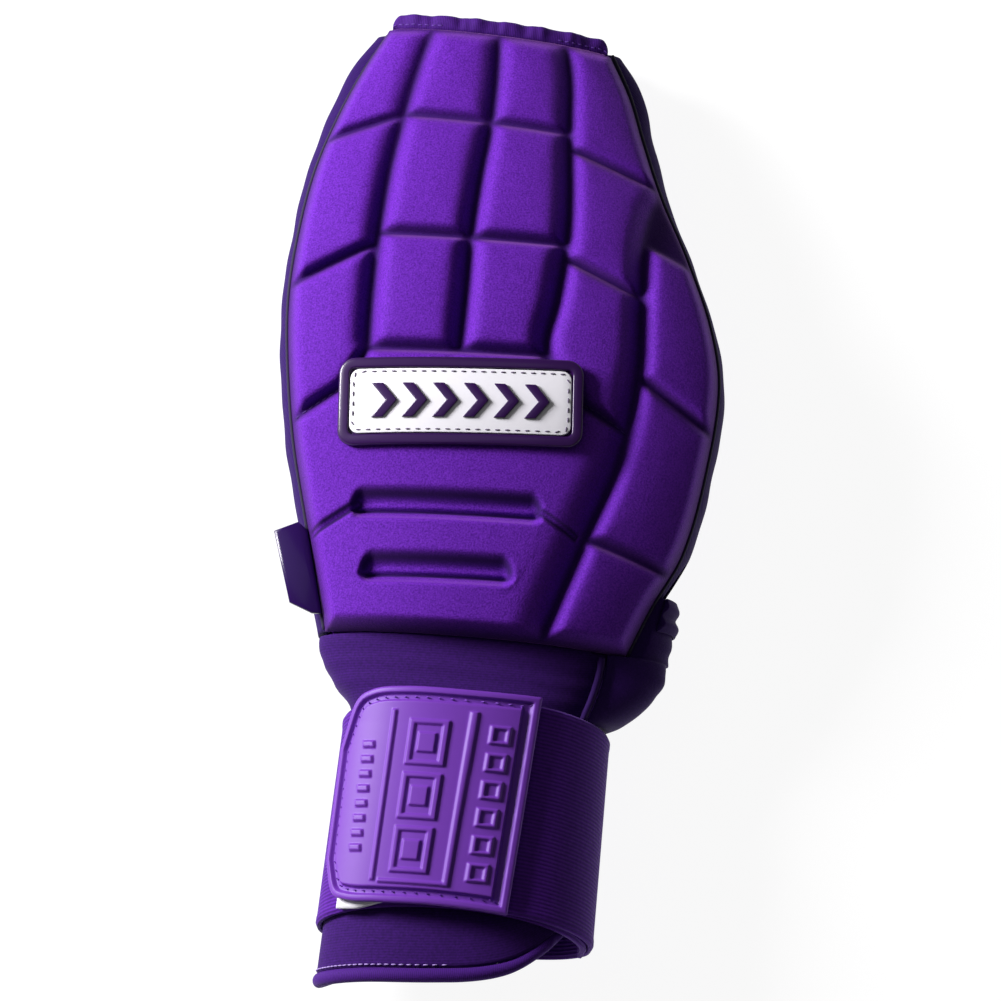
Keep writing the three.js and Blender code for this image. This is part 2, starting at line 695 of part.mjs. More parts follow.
function makeBadgeFrame() {
  const foot = GAP;
  const floor = foot + BADGE_FLOOR;
  const inner = badgeOutline(BADGE_LENGTH - 2 * BADGE_RIM, BADGE_HEIGHT - 2 * BADGE_RIM,
    BADGE_CORNER - BADGE_RIM / 2);
  const tray = badgeLayer(foot, floor + BADGE_RIM_RISE)
    .intersect(upright(badgeOutline(BADGE_LENGTH, BADGE_HEIGHT, BADGE_CORNER)))
    .subtract(badgeLayer(floor, floor + 3 * BADGE_RIM_RISE).intersect(upright(inner)));
  const marks = badgeLayer(foot + BADGE_FLOOR / 2, floor + GAP + BADGE_PLATE + CHEVRON_RISE)
    .intersect(chevrons(0));
  return geometryOf(tray.add(marks));
}

function makeBadgePlate() {
  const foot = 2 * GAP + BADGE_FLOOR;
  const outline = badgeOutline(BADGE_LENGTH - 2 * (BADGE_RIM + GAP),
    BADGE_HEIGHT - 2 * (BADGE_RIM + GAP), BADGE_CORNER - BADGE_RIM / 2 - GAP);
  return geometryOf(badgeLayer(foot, foot + BADGE_PLATE).intersect(upright(outline)).subtract(chevrons(GAP)));
}

// Side tag

function makeSideTag() {
  const low = TAG_Y;
  const high = TAG_Y + TAG_LENGTH;
  const out = (y) => edgeX(-1, y) - GAP;
  const outline = [
    [out(low), low], [out(high), high], [out(high) - TAG_REACH * 0.3, high + TAG_SLANT * 0.6],
    [out(high) - TAG_REACH, high - TAG_SLANT * 0.3], [out(low) - TAG_REACH, low + TAG_SLANT * 0.7],
    [out(low) - TAG_REACH * 0.3, low],
  ];
  const foot = seamHeight(high) + GAP;
  return prism((inwards) => inset(outline, inwards), [
    { inwards: 0, height: foot },
    { inwards: 0, height: foot + TAG_THICKNESS * 0.7 },
    { inwards: TAG_THICKNESS * 0.3, height: foot + TAG_THICKNESS },
  ]);
}

// Cuff

const WRIST_LOW = STRAP_THICKNESS + GAP;
const TONGUE_MARGIN = GUSSET_WALL + SEAM_INSET + GAP;

/** The reach of the cuff's section to each side, and its lowest and highest points, at a place. */
function cuffSection(y) {
  if (y >= 0) {
    return {
      left: -edgeX(-1, y) - TONGUE_MARGIN,
      right: edgeX(1, y) - TONGUE_MARGIN,
      low: palmOver(0, y) + GAP,
      high: backUnder(0, y) - 2 * GAP,
      roundness: 2,
    };
  }
  const flare = follow(FLARE_ROWS, 'flare', 1 + y / CUFF_FLARE_LENGTH);
  const spread = CUFF_END_SPREAD * Math.max(0, (-y - CUFF_FLARE_LENGTH) / (CUFF_LENGTH - CUFF_FLARE_LENGTH));
  return {
    left: lerp(WRIST_LEFT, ROOT_LEFT, flare) + spread,
    right: lerp(WRIST_RIGHT, ROOT_RIGHT, flare),
    low: lerp(WRIST_LOW, palmOver(0, 0) + GAP, flare),
    high: lerp(WRIST_LOW + WRIST_HEIGHT, backUnder(0, 0) - 2 * GAP, flare),
    roundness: 2.25,
  };
}

/** A point on the cuff at an angle from the thumb side towards the back, moved out by a distance. */
function onCuff(angle, y, out = 0) {
  const { left, right, low, high, roundness } = cuffSection(y);
  const [c, s] = [Math.cos(rad(angle)), Math.sin(rad(angle))];
  const middle = (low + high) / 2;
  const x = Math.sign(c) * Math.abs(c) ** (2 / roundness) * ((c < 0 ? left : right) + out);
  let z = middle + Math.sign(s) * Math.abs(s) ** (2 / roundness) * ((high - low) / 2 + out);
  if (y >= 0) z = THREE.MathUtils.clamp(z, palmOver(x, y) + GAP + Math.min(-out, CUFF_WALL),
    backUnder(x, y) - 2 * GAP + Math.max(out, -CUFF_WALL));
  return [x, y, z];
}

/** A point over the wrist, where the strap keeps the wrist's size past the start of the flare. */
function onWrist(angle, y, out) {
  const [x, , z] = onCuff(angle, Math.min(y, -CUFF_FLARE_LENGTH), out);
  return [x, y, z];
}

/** Place of the cuff's far edge: it is cut away on the thumb side and under the palm. */
const cuffEnd = (angle) => -CUFF_LENGTH * follow(CUFF_END_ROWS, 'reach', (((angle % 360) + 360) % 360) / 360);

const CUFF_STATIONS = [CUFF_TONGUE, CUFF_TONGUE / 2, 0,
  ...[0.10, 0.28, 0.53, 0.77, 1].map((share) => -share * CUFF_FLARE_LENGTH)];
const angles = (from, to) => steps(from, to, Math.round((to - from) / ANGLE_STEP));

function makeCuff() {
  const turns = angles(0, 360 - ANGLE_STEP);
  return loft(turns.map((angle) => {
    const stations = [...CUFF_STATIONS, cuffEnd(angle)];
    return [
      ...stations.map((y) => onCuff(angle, y)),
      ...stations.map((y) => onCuff(angle, y, -CUFF_WALL)).reverse(),
    ];
  }), true);
}

function makeCuffBinding() {
  const sides = 8;
  return loft(angles(0, 360 - ANGLE_STEP).map((angle) => {
    const end = cuffEnd(angle) - GAP - BINDING_WIDTH / 2;
    const cleared = THREE.MathUtils.smoothstep(strapTop(angle) - STRAP_WIDTH - end, BINDING_WIDTH / 2, BINDING_WIDTH);
    const thickness = lerp(CUFF_WALL, BINDING_THICKNESS, cleared);
    return Array.from({ length: sides }, (_, k) => {
      const turn = ((k + 0.5) / sides) * 2 * Math.PI;
      const out = (thickness / 2) * Math.sin(turn) - CUFF_WALL / 2;
      return onCuff(angle, end + (BINDING_WIDTH / 2) * Math.cos(turn), out);
    });
  }), true);
}

// Wrist strap

/** Upper edge of the strap: it crests over the back of the wrist. */
const strapTop = (angle) => STRAP_TOP + STRAP_CREST * (0.5 + 0.5 * Math.sin(rad(angle))) ** 2;

/** How far the strap's inner face lies off the cuff: its outer turn lies on its first. */
function strapLift(angle) {
  const share = THREE.MathUtils.clamp((angle - STRAP_LIFT_START) / (STRAP_LIFT_END - STRAP_LIFT_START), 0, 1);
  return GAP + (STRAP_THICKNESS + GAP) * share;
}

function makeWristStrap() {
  return loft(angles(STRAP_START_ANGLE, STRAP_END_ANGLE).map((angle) => {
    const foot = strapLift(angle);
    const inner = THREE.MathUtils.clamp(1 - angle / 90, 0, 1);
    const top = strapTop(angle) - STRAP_STEP_DOWN * inner;
    const places = [top, Math.min(top - 1, -CUFF_FLARE_LENGTH), top - STRAP_WIDTH];
    return [
      ...places.map((y) => onWrist(angle, y, foot + STRAP_THICKNESS)),
      ...places.map((y) => onWrist(angle, y, foot)).reverse(),
    ];
  }));
}

// Patch and hook pad on the strap's end

const PATCH_FOOT = 3 * GAP + 2 * STRAP_THICKNESS;

/** A place on the patch: share of its length from the strap's end, share of half its height, rise. */
function onPatch(along, aside, rise) {
  const angle = lerp(PATCH_START_ANGLE, PATCH_END_ANGLE, along) - PATCH_SKEW * aside * (1 - along);
  const middle = strapTop(90) + 1.5 - PATCH_HEIGHT / 2;
  return onWrist(angle, middle + (aside * PATCH_HEIGHT) / 2, PATCH_FOOT + rise);
}

const PATCH_MEAN_RADIUS = (WRIST_LEFT + WRIST_RIGHT + WRIST_HEIGHT) / 4 + PATCH_FOOT;
const PATCH_LENGTH = rad(PATCH_END_ANGLE - PATCH_START_ANGLE) * PATCH_MEAN_RADIUS;

// Where the patch bends over the end of the wrist's flare, as a share of half its height
const PATCH_BEND = 1 - (2 * (strapTop(90) + 1.5 + CUFF_FLARE_LENGTH)) / PATCH_HEIGHT;

/** A sheet over the patch's outline, drawn in by a margin, between two rises. */
function patchLayer(margin, low, high) {
  const start = margin / PATCH_LENGTH;
  const end = 1 - margin / PATCH_LENGTH;
  const shrink = (2 * margin) / PATCH_HEIGHT;
  const stations = [...steps(0, 0.84, 7), 0.91, 0.96, 1];
  return solid(sheet(stations.map((at) => {
    const top = follow(PATCH_ROWS, 'top', at) - shrink;
    const bottom = shrink - follow(PATCH_ROWS, 'bottom', at);
    return [top, Math.min(PATCH_BEND, lerp(top, bottom, 0.1)), bottom].map((aside) => ({
      high: onPatch(lerp(start, end, at), aside, high),
      low: onPatch(lerp(start, end, at), aside, low),
    }));
  })));
}

/** A raised bar of the patch. */
function patchBar({ from, to, low, high }) {
  const rise = [PATCH_BASE / 2, PATCH_BASE + PATCH_RISE + 0.8];
  return solid(sheet(steps(from, to, 2).map((along) => [high, low].map((aside) => ({
    high: onPatch(along, aside, rise[1]),
    low: onPatch(along, aside, rise[0]),
  })))));
}

function makeStrapPatch() {
  const raised = PATCH_BASE + PATCH_RISE;
  const rim = patchLayer(0, 0, raised).subtract(patchLayer(PATCH_RIM, PATCH_BASE, raised + 1));
  const plateau = patchLayer(PATCH_RIM + PATCH_CHANNEL, PATCH_BASE / 2, raised);
  return geometryOf(joined([rim, plateau, ...PATCH_BARS.map(patchBar)]));
}

function makeHookPad() {
  const middle = strapTop(90) - 1.5 - PATCH_HEIGHT / 2;
  const foot = 2 * GAP + STRAP_THICKNESS;
  const places = [middle + HOOK_HEIGHT / 2, -CUFF_FLARE_LENGTH, middle - HOOK_HEIGHT / 2];
  return sheet(angles(HOOK_START_ANGLE, HOOK_END_ANGLE).map((angle) => places.map((y) => ({
    high: onWrist(angle, y, foot + HOOK_THICKNESS),
    low: onWrist(angle, y, foot),
  }))));
}

// Thumb gusset

/** A point on the thumb gusset: share round it from the palm to the back, and distance outwards. */
function onThumb(share, y, out) {
  const along = y >= 0 ? y / THUMB_RISE : y / THUMB_DROP;
  const bulge = THUMB_BULGE * follow(THUMB_ROWS, 'bulge', along) * Math.sin(Math.PI * share) ** 0.6;
  let foot;
  if (y >= 0) {
    const edge = edgeX(1, y);
    foot = [edge - SEAM_INSET, y, lerp(palmOver(edge, y) + GAP, backUnder(edge, y) - GAP, share)];
  } else {
    foot = onCuff(lerp(-THUMB_HALF_ANGLE, THUMB_HALF_ANGLE, share), y, GAP);
  }
  const lean = rad(150) * (share - 0.5);
  let z = foot[2] + out * Math.sin(lean);
  if (y >= 0) {
    const edge = edgeX(1, y);
    z = THREE.MathUtils.clamp(z, palmOver(edge, y) + GAP, backUnder(edge, y) - GAP);
  }
  return [foot[0] + bulge + out * Math.cos(lean), y, z];
}

const THUMB_SHARES = [0, 0.05, 0.16, 0.33, 0.5, 0.67, 0.84, 0.95, 1];

function makeThumbGusset() {
  return sheet(THUMB_ROWS.map(({ along }) => {
    const y = along * (along >= 0 ? THUMB_RISE : THUMB_DROP);
    return THUMB_SHARES.map((share) => ({
      high: onThumb(share, y, THUMB_WALL),
      low: onThumb(share, y, 0),
    }));
  }));
}

function makeThumbHem() {
  return loft(steps(0.1, 0.9, 12).map((share) => {
    const places = THUMB_HEM_ROWS.map(({ along, thickness }) => ({
      y: THUMB_RISE - THUMB_HEM_WIDTH * (1 - along),
      out: THUMB_WALL + GAP + thickness * THUMB_HEM_THICKNESS,
    }));
    return [
      ...places.map(({ y, out }) => onThumb(share, y, out)),
      ...places.map(({ y }) => onThumb(share, y, THUMB_WALL + GAP)).reverse(),
    ];
  }));
}

/** The piped seam: from the pad's corner over the cuff, along the thumb gusset's front edge. */
function makeThumbPiping() {
  const radius = PIPING_DIAMETER / 2;
  const middles = [0.07, 0.25, 0.45, 0.65, 0.82, 0.97].map((share) => onCuff(PIPING_ANGLE,
    -share * THUMB_DROP, radius + 2 * GAP));
  const sides = 8;
  return loft(middles.map(([x, y, z], i) => {
    const [a, b] = [middles[Math.max(i - 1, 0)], middles[Math.min(i + 1, middles.length - 1)]];
    const way = new THREE.Vector3(b[0] - a[0], b[1] - a[1], b[2] - a[2]).normalize();
    const across = new THREE.Vector3(0, 0, 1).cross(way).normalize();
    const up = way.clone().cross(across);
    return Array.from({ length: sides }, (_, k) => {
      const turn = (k / sides) * 2 * Math.PI;
      const at = new THREE.Vector3(x, y, z)
        .addScaledVector(across, radius * Math.cos(turn))
        .addScaledVector(up, radius * Math.sin(turn));
      return at.toArray();
    });
  }));
}

// The mitt

const FINISHES = {
  pad: { color: 0x5a1e9e, roughness: 0.8, metalness: 0 },
  side: { color: 0x3f1378, roughness: 0.85, metalness: 0 },
  knit: { color: 0x431680, roughness: 0.9, metalness: 0 },
  strap: { color: 0x4b1a8c, roughness: 0.75, metalness: 0 },
  rubber: { color: 0x6a2cc0, roughness: 0.5, metalness: 0 },
  badge: { color: 0x2c0f5c, roughness: 0.25, metalness: 0 },
  plate: { color: 0xe9e8ee, roughness: 0.35, metalness: 0 },
  hook: { color: 0xe2e0e6, roughness: 0.9, metalness: 0 },
};

const PIECES = [
  ['back_pad', makeBackPad, 'pad'],
  ['palm_pad', makePalmPad, 'pad'],
  ['gusset_left', () => gussetWall(-1, GAP), 'side'],
  ['gusset_right', makeRightGusset, 'side'],
  ['tip_hem_back', () => tipHem((x, y) => (backUnder(x, y) + backTop(x, y)) / 2), 'side'],
  ['tip_hem_palm', () => tipHem((x, y) => (palmUnder(x, y) + palmOver(x, y)) / 2), 'side'],
  ['badge_frame', makeBadgeFrame, 'badge'],
  ['badge_plate', makeBadgePlate, 'plate'],
  ['side_tag', makeSideTag, 'badge'],
  ['cuff', makeCuff, 'knit'],
  ['cuff_binding', makeCuffBinding, 'side'],
  ['thumb_gusset', makeThumbGusset, 'knit'],
  ['thumb_hem', makeThumbHem, 'knit'],
  ['thumb_piping', makeThumbPiping, 'side'],
  ['wrist_strap', makeWristStrap, 'strap'],
  ['strap_patch', makeStrapPatch, 'rubber'],
  ['hook_pad', makeHookPad, 'hook'],
];

const mitt = new THREE.Group();
for (const [name, make, finish] of PIECES) {
  const mesh = new THREE.Mesh(make(), new THREE.MeshStandardMaterial(FINISHES[finish]));
  mesh.name = name;
  mitt.add(mesh);
}

// The origin is under the middle of the whole mitt, on the surface that it lies on
const box = new THREE.Box3().setFromObject(mitt);
const middle = box.getCenter(new THREE.Vector3());
mitt.position.set(-middle.x, -middle.y, -box.min.z);

export default mitt;
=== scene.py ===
"""Visual model of a padded sliding mitt: foam pads, soft sides, knit cuff, wrist strap and badge.

Sizes are in millimetres on the mitt's own axes: x towards the thumb, y from the wrist to the
fingertips, z out of the back of the hand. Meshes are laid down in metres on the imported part.
"""

import logging
import math
from collections.abc import Callable
from dataclasses import dataclass
from enum import Enum

import bpy
import bmesh
import numpy as np
from mathutils import Matrix, Vector


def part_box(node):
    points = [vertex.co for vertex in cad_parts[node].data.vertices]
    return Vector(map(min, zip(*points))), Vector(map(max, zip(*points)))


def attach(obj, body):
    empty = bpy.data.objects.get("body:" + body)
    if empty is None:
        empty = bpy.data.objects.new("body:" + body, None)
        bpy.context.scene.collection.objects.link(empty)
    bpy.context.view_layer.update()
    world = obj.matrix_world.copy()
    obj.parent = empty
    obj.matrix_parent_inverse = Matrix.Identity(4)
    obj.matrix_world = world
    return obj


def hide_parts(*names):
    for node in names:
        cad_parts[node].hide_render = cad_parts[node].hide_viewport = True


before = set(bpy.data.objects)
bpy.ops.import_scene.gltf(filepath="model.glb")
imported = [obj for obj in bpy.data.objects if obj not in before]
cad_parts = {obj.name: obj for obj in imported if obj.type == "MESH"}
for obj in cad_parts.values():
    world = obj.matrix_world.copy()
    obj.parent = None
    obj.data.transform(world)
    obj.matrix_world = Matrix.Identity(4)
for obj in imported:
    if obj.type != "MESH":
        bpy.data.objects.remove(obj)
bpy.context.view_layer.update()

Array = np.ndarray
Piece = bpy.types.Object
MM = 0.001
# From the middle line to the cuff's left side, where the cuff meets the pads.
ROOT_LEFT = 51.0
LOG = logging.getLogger("mitt")


def mitt_offset() -> Array:
    """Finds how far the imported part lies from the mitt's own axes.

    Returns:
        The offset in millimetres.
    """
    pad_low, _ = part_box("palm_pad")
    cuff_low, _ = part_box("cuff")
    return np.array([cuff_low.x / MM + ROOT_LEFT, pad_low.y / MM, 0.0])


OFFSET = mitt_offset()


# Curves and surfaces


@dataclass(frozen=True)
class Curve:
    """A smooth curve through values at rising places."""

    places: tuple[float, ...]
    values: tuple[float, ...]

    def at(self, place: Array | float) -> Array:
        """Reads the curve.

        Args:
            place: Where to read it; past its ends it holds its end values.

        Returns:
            The values there.
        """
        x, y = np.array(self.places), np.array(self.values)
        last = len(x) - 1
        t = np.clip(np.asarray(place, float), x[0], x[-1])
        i = np.clip(np.searchsorted(x, t, side="left") - 1, 0, last - 1)
        before, after = np.maximum(np.arange(last + 1) - 1, 0), np.minimum(np.arange(last + 1) + 1, last)
        slope = (y[after] - y[before]) / (x[after] - x[before])
        span = x[i + 1] - x[i]
        s = (t - x[i]) / span
        return (
            (2 * s**3 - 3 * s**2 + 1) * y[i]
            + (s**3 - 2 * s**2 + s) * span * slope[i]
            + (3 * s**2 - 2 * s**3) * y[i + 1]
            + (s**3 - s**2) * span * slope[i + 1]
        )


def smoothstep(value: Array | float, low: float, high: float) -> Array:
    """Eases from 0 at low to 1 at high."""
    t = np.clip((np.asarray(value, float) - low) / (high - low), 0, 1)
    return t * t * (3 - 2 * t)


def lerp(a: Array | float, b: Array | float, t: Array | float) -> Array:
    """Blends from a to b."""
    return np.asarray(a) + (np.asarray(b) - np.asarray(a)) * t


@dataclass(frozen=True)
class PadForm:
    """Outline and heights that the two pads, the sides and the hems share."""

    length: float = 201.5
    width: float = 138.0
    base: float = 3.0
    seam: float = 38.0
    arch_back: float = 13.0
    arch_tip: float = 8.0
    crown_power: float = 2.4
    tip_slant: float = 1.5
    palm_edge: float = 13.0
    palm_block: float = 3.5
    left: Curve = Curve(
        (0.0, 0.08, 0.17, 0.30, 0.44, 0.54, 0.65, 0.75, 0.85, 0.93, 1.0),
        (0.710, 0.770, 0.840, 0.935, 1.000, 1.020, 1.000, 0.955, 0.870, 0.780, 0.680),
    )
    right: Curve = Curve(
        (0.0, 0.08, 0.17, 0.30, 0.44, 0.54, 0.65, 0.75, 0.85, 0.93, 1.0),
        (0.670, 0.765, 0.890, 0.965, 0.995, 0.935, 0.805, 0.665, 0.555, 0.475, 0.375),
    )
    height: Curve = Curve((0.0, 0.17, 0.38, 0.66, 0.86, 0.95, 1.0), (0.90, 0.95, 1.0, 0.90, 0.72, 0.61, 0.56))
    bulge: Curve = Curve((0.0, 0.17, 0.38, 0.66, 0.86, 0.95, 1.0), (0.85, 0.95, 1.0, 1.0, 1.5, 1.75, 1.2))

    def edge(self, side: int, y: Array | float) -> Array:
        """Reach of the pads' edge on one side, -1 left or 1 right."""
        return side * self.width / 2 * (self.left if side < 0 else self.right).at(np.asarray(y) / self.length)

    def middle(self, y: Array | float) -> Array:
        """Middle line between both edges."""
        return (self.edge(-1, y) + self.edge(1, y)) / 2

    def half(self, y: Array | float) -> Array:
        """Half the width at a place along the pads."""
        return (self.edge(1, y) - self.edge(-1, y)) / 2

    def crown(self, x: Array, y: Array) -> Array:
        """Share of the arch's height, 1 on the middle line and 0 at the edges."""
        share = np.clip(np.abs(x - self.middle(y)) / self.half(y), 0, 1)
        return 1 - share**self.crown_power

    def seam_height(self, y: Array | float) -> Array:
        """Height of the back pad's edge seam."""
        return self.seam * self.height.at(np.asarray(y) / self.length)

    def back_under(self, x: Array, y: Array) -> Array:
        """Inner face of the back pad."""
        arch = lerp(self.arch_back, self.arch_tip, smoothstep(np.asarray(y) / self.length, 0.5, 1))
        return self.seam_height(y) + arch * self.crown(x, y)

    def palm_over(self, x: Array, y: Array) -> Array:
        """Inner face of the palm pad."""
        return self.palm_edge - (self.palm_edge - self.palm_block - self.base) * self.crown(x, y)

    def place(self, across: Array, along: Array) -> tuple[Array, Array]:
        """Turns shares across, -1 to 1, and along, 0 to 1, into x and y.

        Args:
            across: Share of half the width.
            along: Share of the length.

        Returns:
            The x and the y.
        """
        y = self.length * np.asarray(along)
        x = self.middle(y) + np.asarray(across) * self.half(y)
        return x, y - self.tip_slant * np.asarray(along) ** 4 * across


def inside_distance(x: Array, y: Array, outline: Array) -> Array:
    """Distance of each place inside an outline from its nearest side, negative outside.

    Args:
        x: The places' x.
        y: The places' y.
        outline: The corners, in order.

    Returns:
        The distances.
    """
    best, inside = np.full(x.shape, 1e9), np.zeros(x.shape, bool)
    for (ax, ay), (bx, by) in zip(outline, np.roll(outline, -1, axis=0)):
        dx, dy = bx - ax, by - ay
        t = np.clip(((x - ax) * dx + (y - ay) * dy) / (dx * dx + dy * dy + 1e-12), 0, 1)
        best = np.minimum(best, np.hypot(x - ax - t * dx, y - ay - t * dy))
        crossing = (ay > y) != (by > y)
        inside ^= crossing & (x < ax + (y - ay) * dx / (dy if abs(dy) > 1e-12 else 1e-12))
    return np.where(inside, best, -best)


def line_distance(x: Array, y: Array, line: Array) -> tuple[Array, Array]:
    """Distance of each place from a line through points, and its side.

    Args:
        x: The places' x.
        y: The places' y.
        line: The points of the line, in order.

    Returns:
        The distances, and the signed distances of the nearest stretch, positive to its left.
    """
    best, signed = np.full(x.shape, 1e9), np.zeros(x.shape)
    for (ax, ay), (bx, by) in zip(line[:-1], line[1:]):
        dx, dy = bx - ax, by - ay
        t = np.clip(((x - ax) * dx + (y - ay) * dy) / (dx * dx + dy * dy), 0, 1)
        away = np.hypot(x - ax - t * dx, y - ay - t * dy)
        side = (dx * (y - ay) - dy * (x - ax)) / math.hypot(dx, dy)
        nearer = away < best
        best, signed = np.where(nearer, away, best), np.where(nearer, side, signed)
    return best, signed


# Meshes


def deselect() -> None:
    """Leaves edit mode and deselects everything."""
    if bpy.context.object and bpy.context.object.mode != "OBJECT":
        bpy.ops.object.mode_set(mode="OBJECT")
    bpy.ops.object.select_all(action="DESELECT")


def lay(name: str, points: Array, faces: list, cloth: Array | None = None) -> Piece:
    """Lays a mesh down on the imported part.

    Args:
        name: The piece's name.
        points: Its vertices, on the mitt's own axes.
        faces: The vertex numbers of each face.
        cloth: A place on the flat cloth, in millimetres, for each corner of each face.

    Returns:
        The smooth piece, with its faces outwards.
    """
    mesh = bpy.data.meshes.new(name)
    mesh.from_pydata(((points.reshape(-1, 3) + OFFSET) * MM).tolist(), [], faces)
    if cloth is not None:
        mesh.uv_layers.new(name="cloth").data.foreach_set("uv", cloth.astype(np.float32).ravel())
    piece = bpy.data.objects.new(name, mesh)
    bpy.context.scene.collection.objects.link(piece)
    turn_outwards(piece)
    mesh.shade_smooth()
    return piece


def turn_outwards(piece: Piece) -> None:
    """Recalculates a closed piece's normals so that its faces point outwards.

    Args:
        piece: The piece.
    """
    edit = bmesh.new()
    edit.from_mesh(piece.data)
    bmesh.ops.recalc_face_normals(edit, faces=edit.faces)
    if edit.calc_volume(signed=True) < 0:
        bmesh.ops.reverse_faces(edit, faces=edit.faces)
    edit.to_mesh(piece.data)
    edit.free()


def skin(name: str, rings: Array, cloth: Array, around: bool = False) -> Piece:
    """Skins closed profiles into one closed piece.

    Args:
        name: The piece's name.
        rings: Points by ring and by place on the profile.
        cloth: Places on the flat cloth, with one place more on each profile, and one ring more
            where the rings close on each other.
        around: Whether the last ring joins the first; otherwise both ends are capped.

    Returns:
        The piece.
    """
    rows, size = rings.shape[:2]
    faces, corners = [], []
    for r in range(rows if around else rows - 1):
        n = (r + 1) % rows
        for c in range(size):
            d = (c + 1) % size
            faces.append((r * size + c, r * size + d, n * size + d, n * size + c))
            corners += [cloth[r, c], cloth[r, c + 1], cloth[r + 1, c + 1], cloth[r + 1, c]]
    if not around:
        for r in (0, rows - 1):
            for c in range(size // 2 - 1):
                cap = (c, c + 1, size - 2 - c, size - 1 - c)
                faces.append(tuple(r * size + k for k in cap))
                corners += [cloth[r, k] for k in cap]
    return lay(name, rings, faces, np.array(corners))


def cloth_of(rings: Array, around: bool) -> Array:
    """Measures cloth coordinates along and across rings of points.

    Args:
        rings: Points by ring and place.
        around: Whether the last ring joins the first.

    Returns:
        Millimetres along each profile and from ring to ring.
    """
    closed = np.concatenate([rings, rings[:, :1]], axis=1)
    if around:
        closed = np.concatenate([closed, closed[:1]], axis=0)
    along = np.linalg.norm(np.diff(closed, axis=1), axis=2).mean(axis=0)
    across = np.linalg.norm(np.diff(closed, axis=0), axis=2)
    across = np.quantile(across, 0.7, axis=1)
    u, v = np.concatenate([[0], np.cumsum(across)]), np.concatenate([[0], np.cumsum(along)])
    return np.stack(np.meshgrid(u, v, indexing="ij"), axis=-1)


def finish_piece(piece: Piece, finish: "Finish", *nodes: str) -> Piece:
    """Dresses a piece and sets it on the part in place of CAD nodes.

    Args:
        piece: The piece.
        finish: Its finish.
        nodes: The CAD nodes that it stands for.

    Returns:
        The piece.
    """
    piece.data.materials.clear()
    piece.data.materials.append(finish.material())
    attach(piece, "root")
    if nodes:
        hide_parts(*nodes)
    LOG.info("%s: %d faces", piece.name, len(piece.data.polygons))
    return piece


# Finishes


SHEEN_ROUGHNESS = 0.45
COAT_ROUGHNESS = 0.12
NOISE_LOW, NOISE_HIGH = 0.32, 0.68
BANDS_PER_PITCH = 0.314
BAND_UNEVENNESS = 0.6
BAND_DETAIL = 0.5
NOISE_DETAIL = 3.0


class Surface(Enum):
    """What the fine structure of a finish looks like."""

    GRAIN = "grain"
    TWILL = "twill"
    RIB = "rib"
    CORDED = "corded"
    SMOOTH = "smooth"


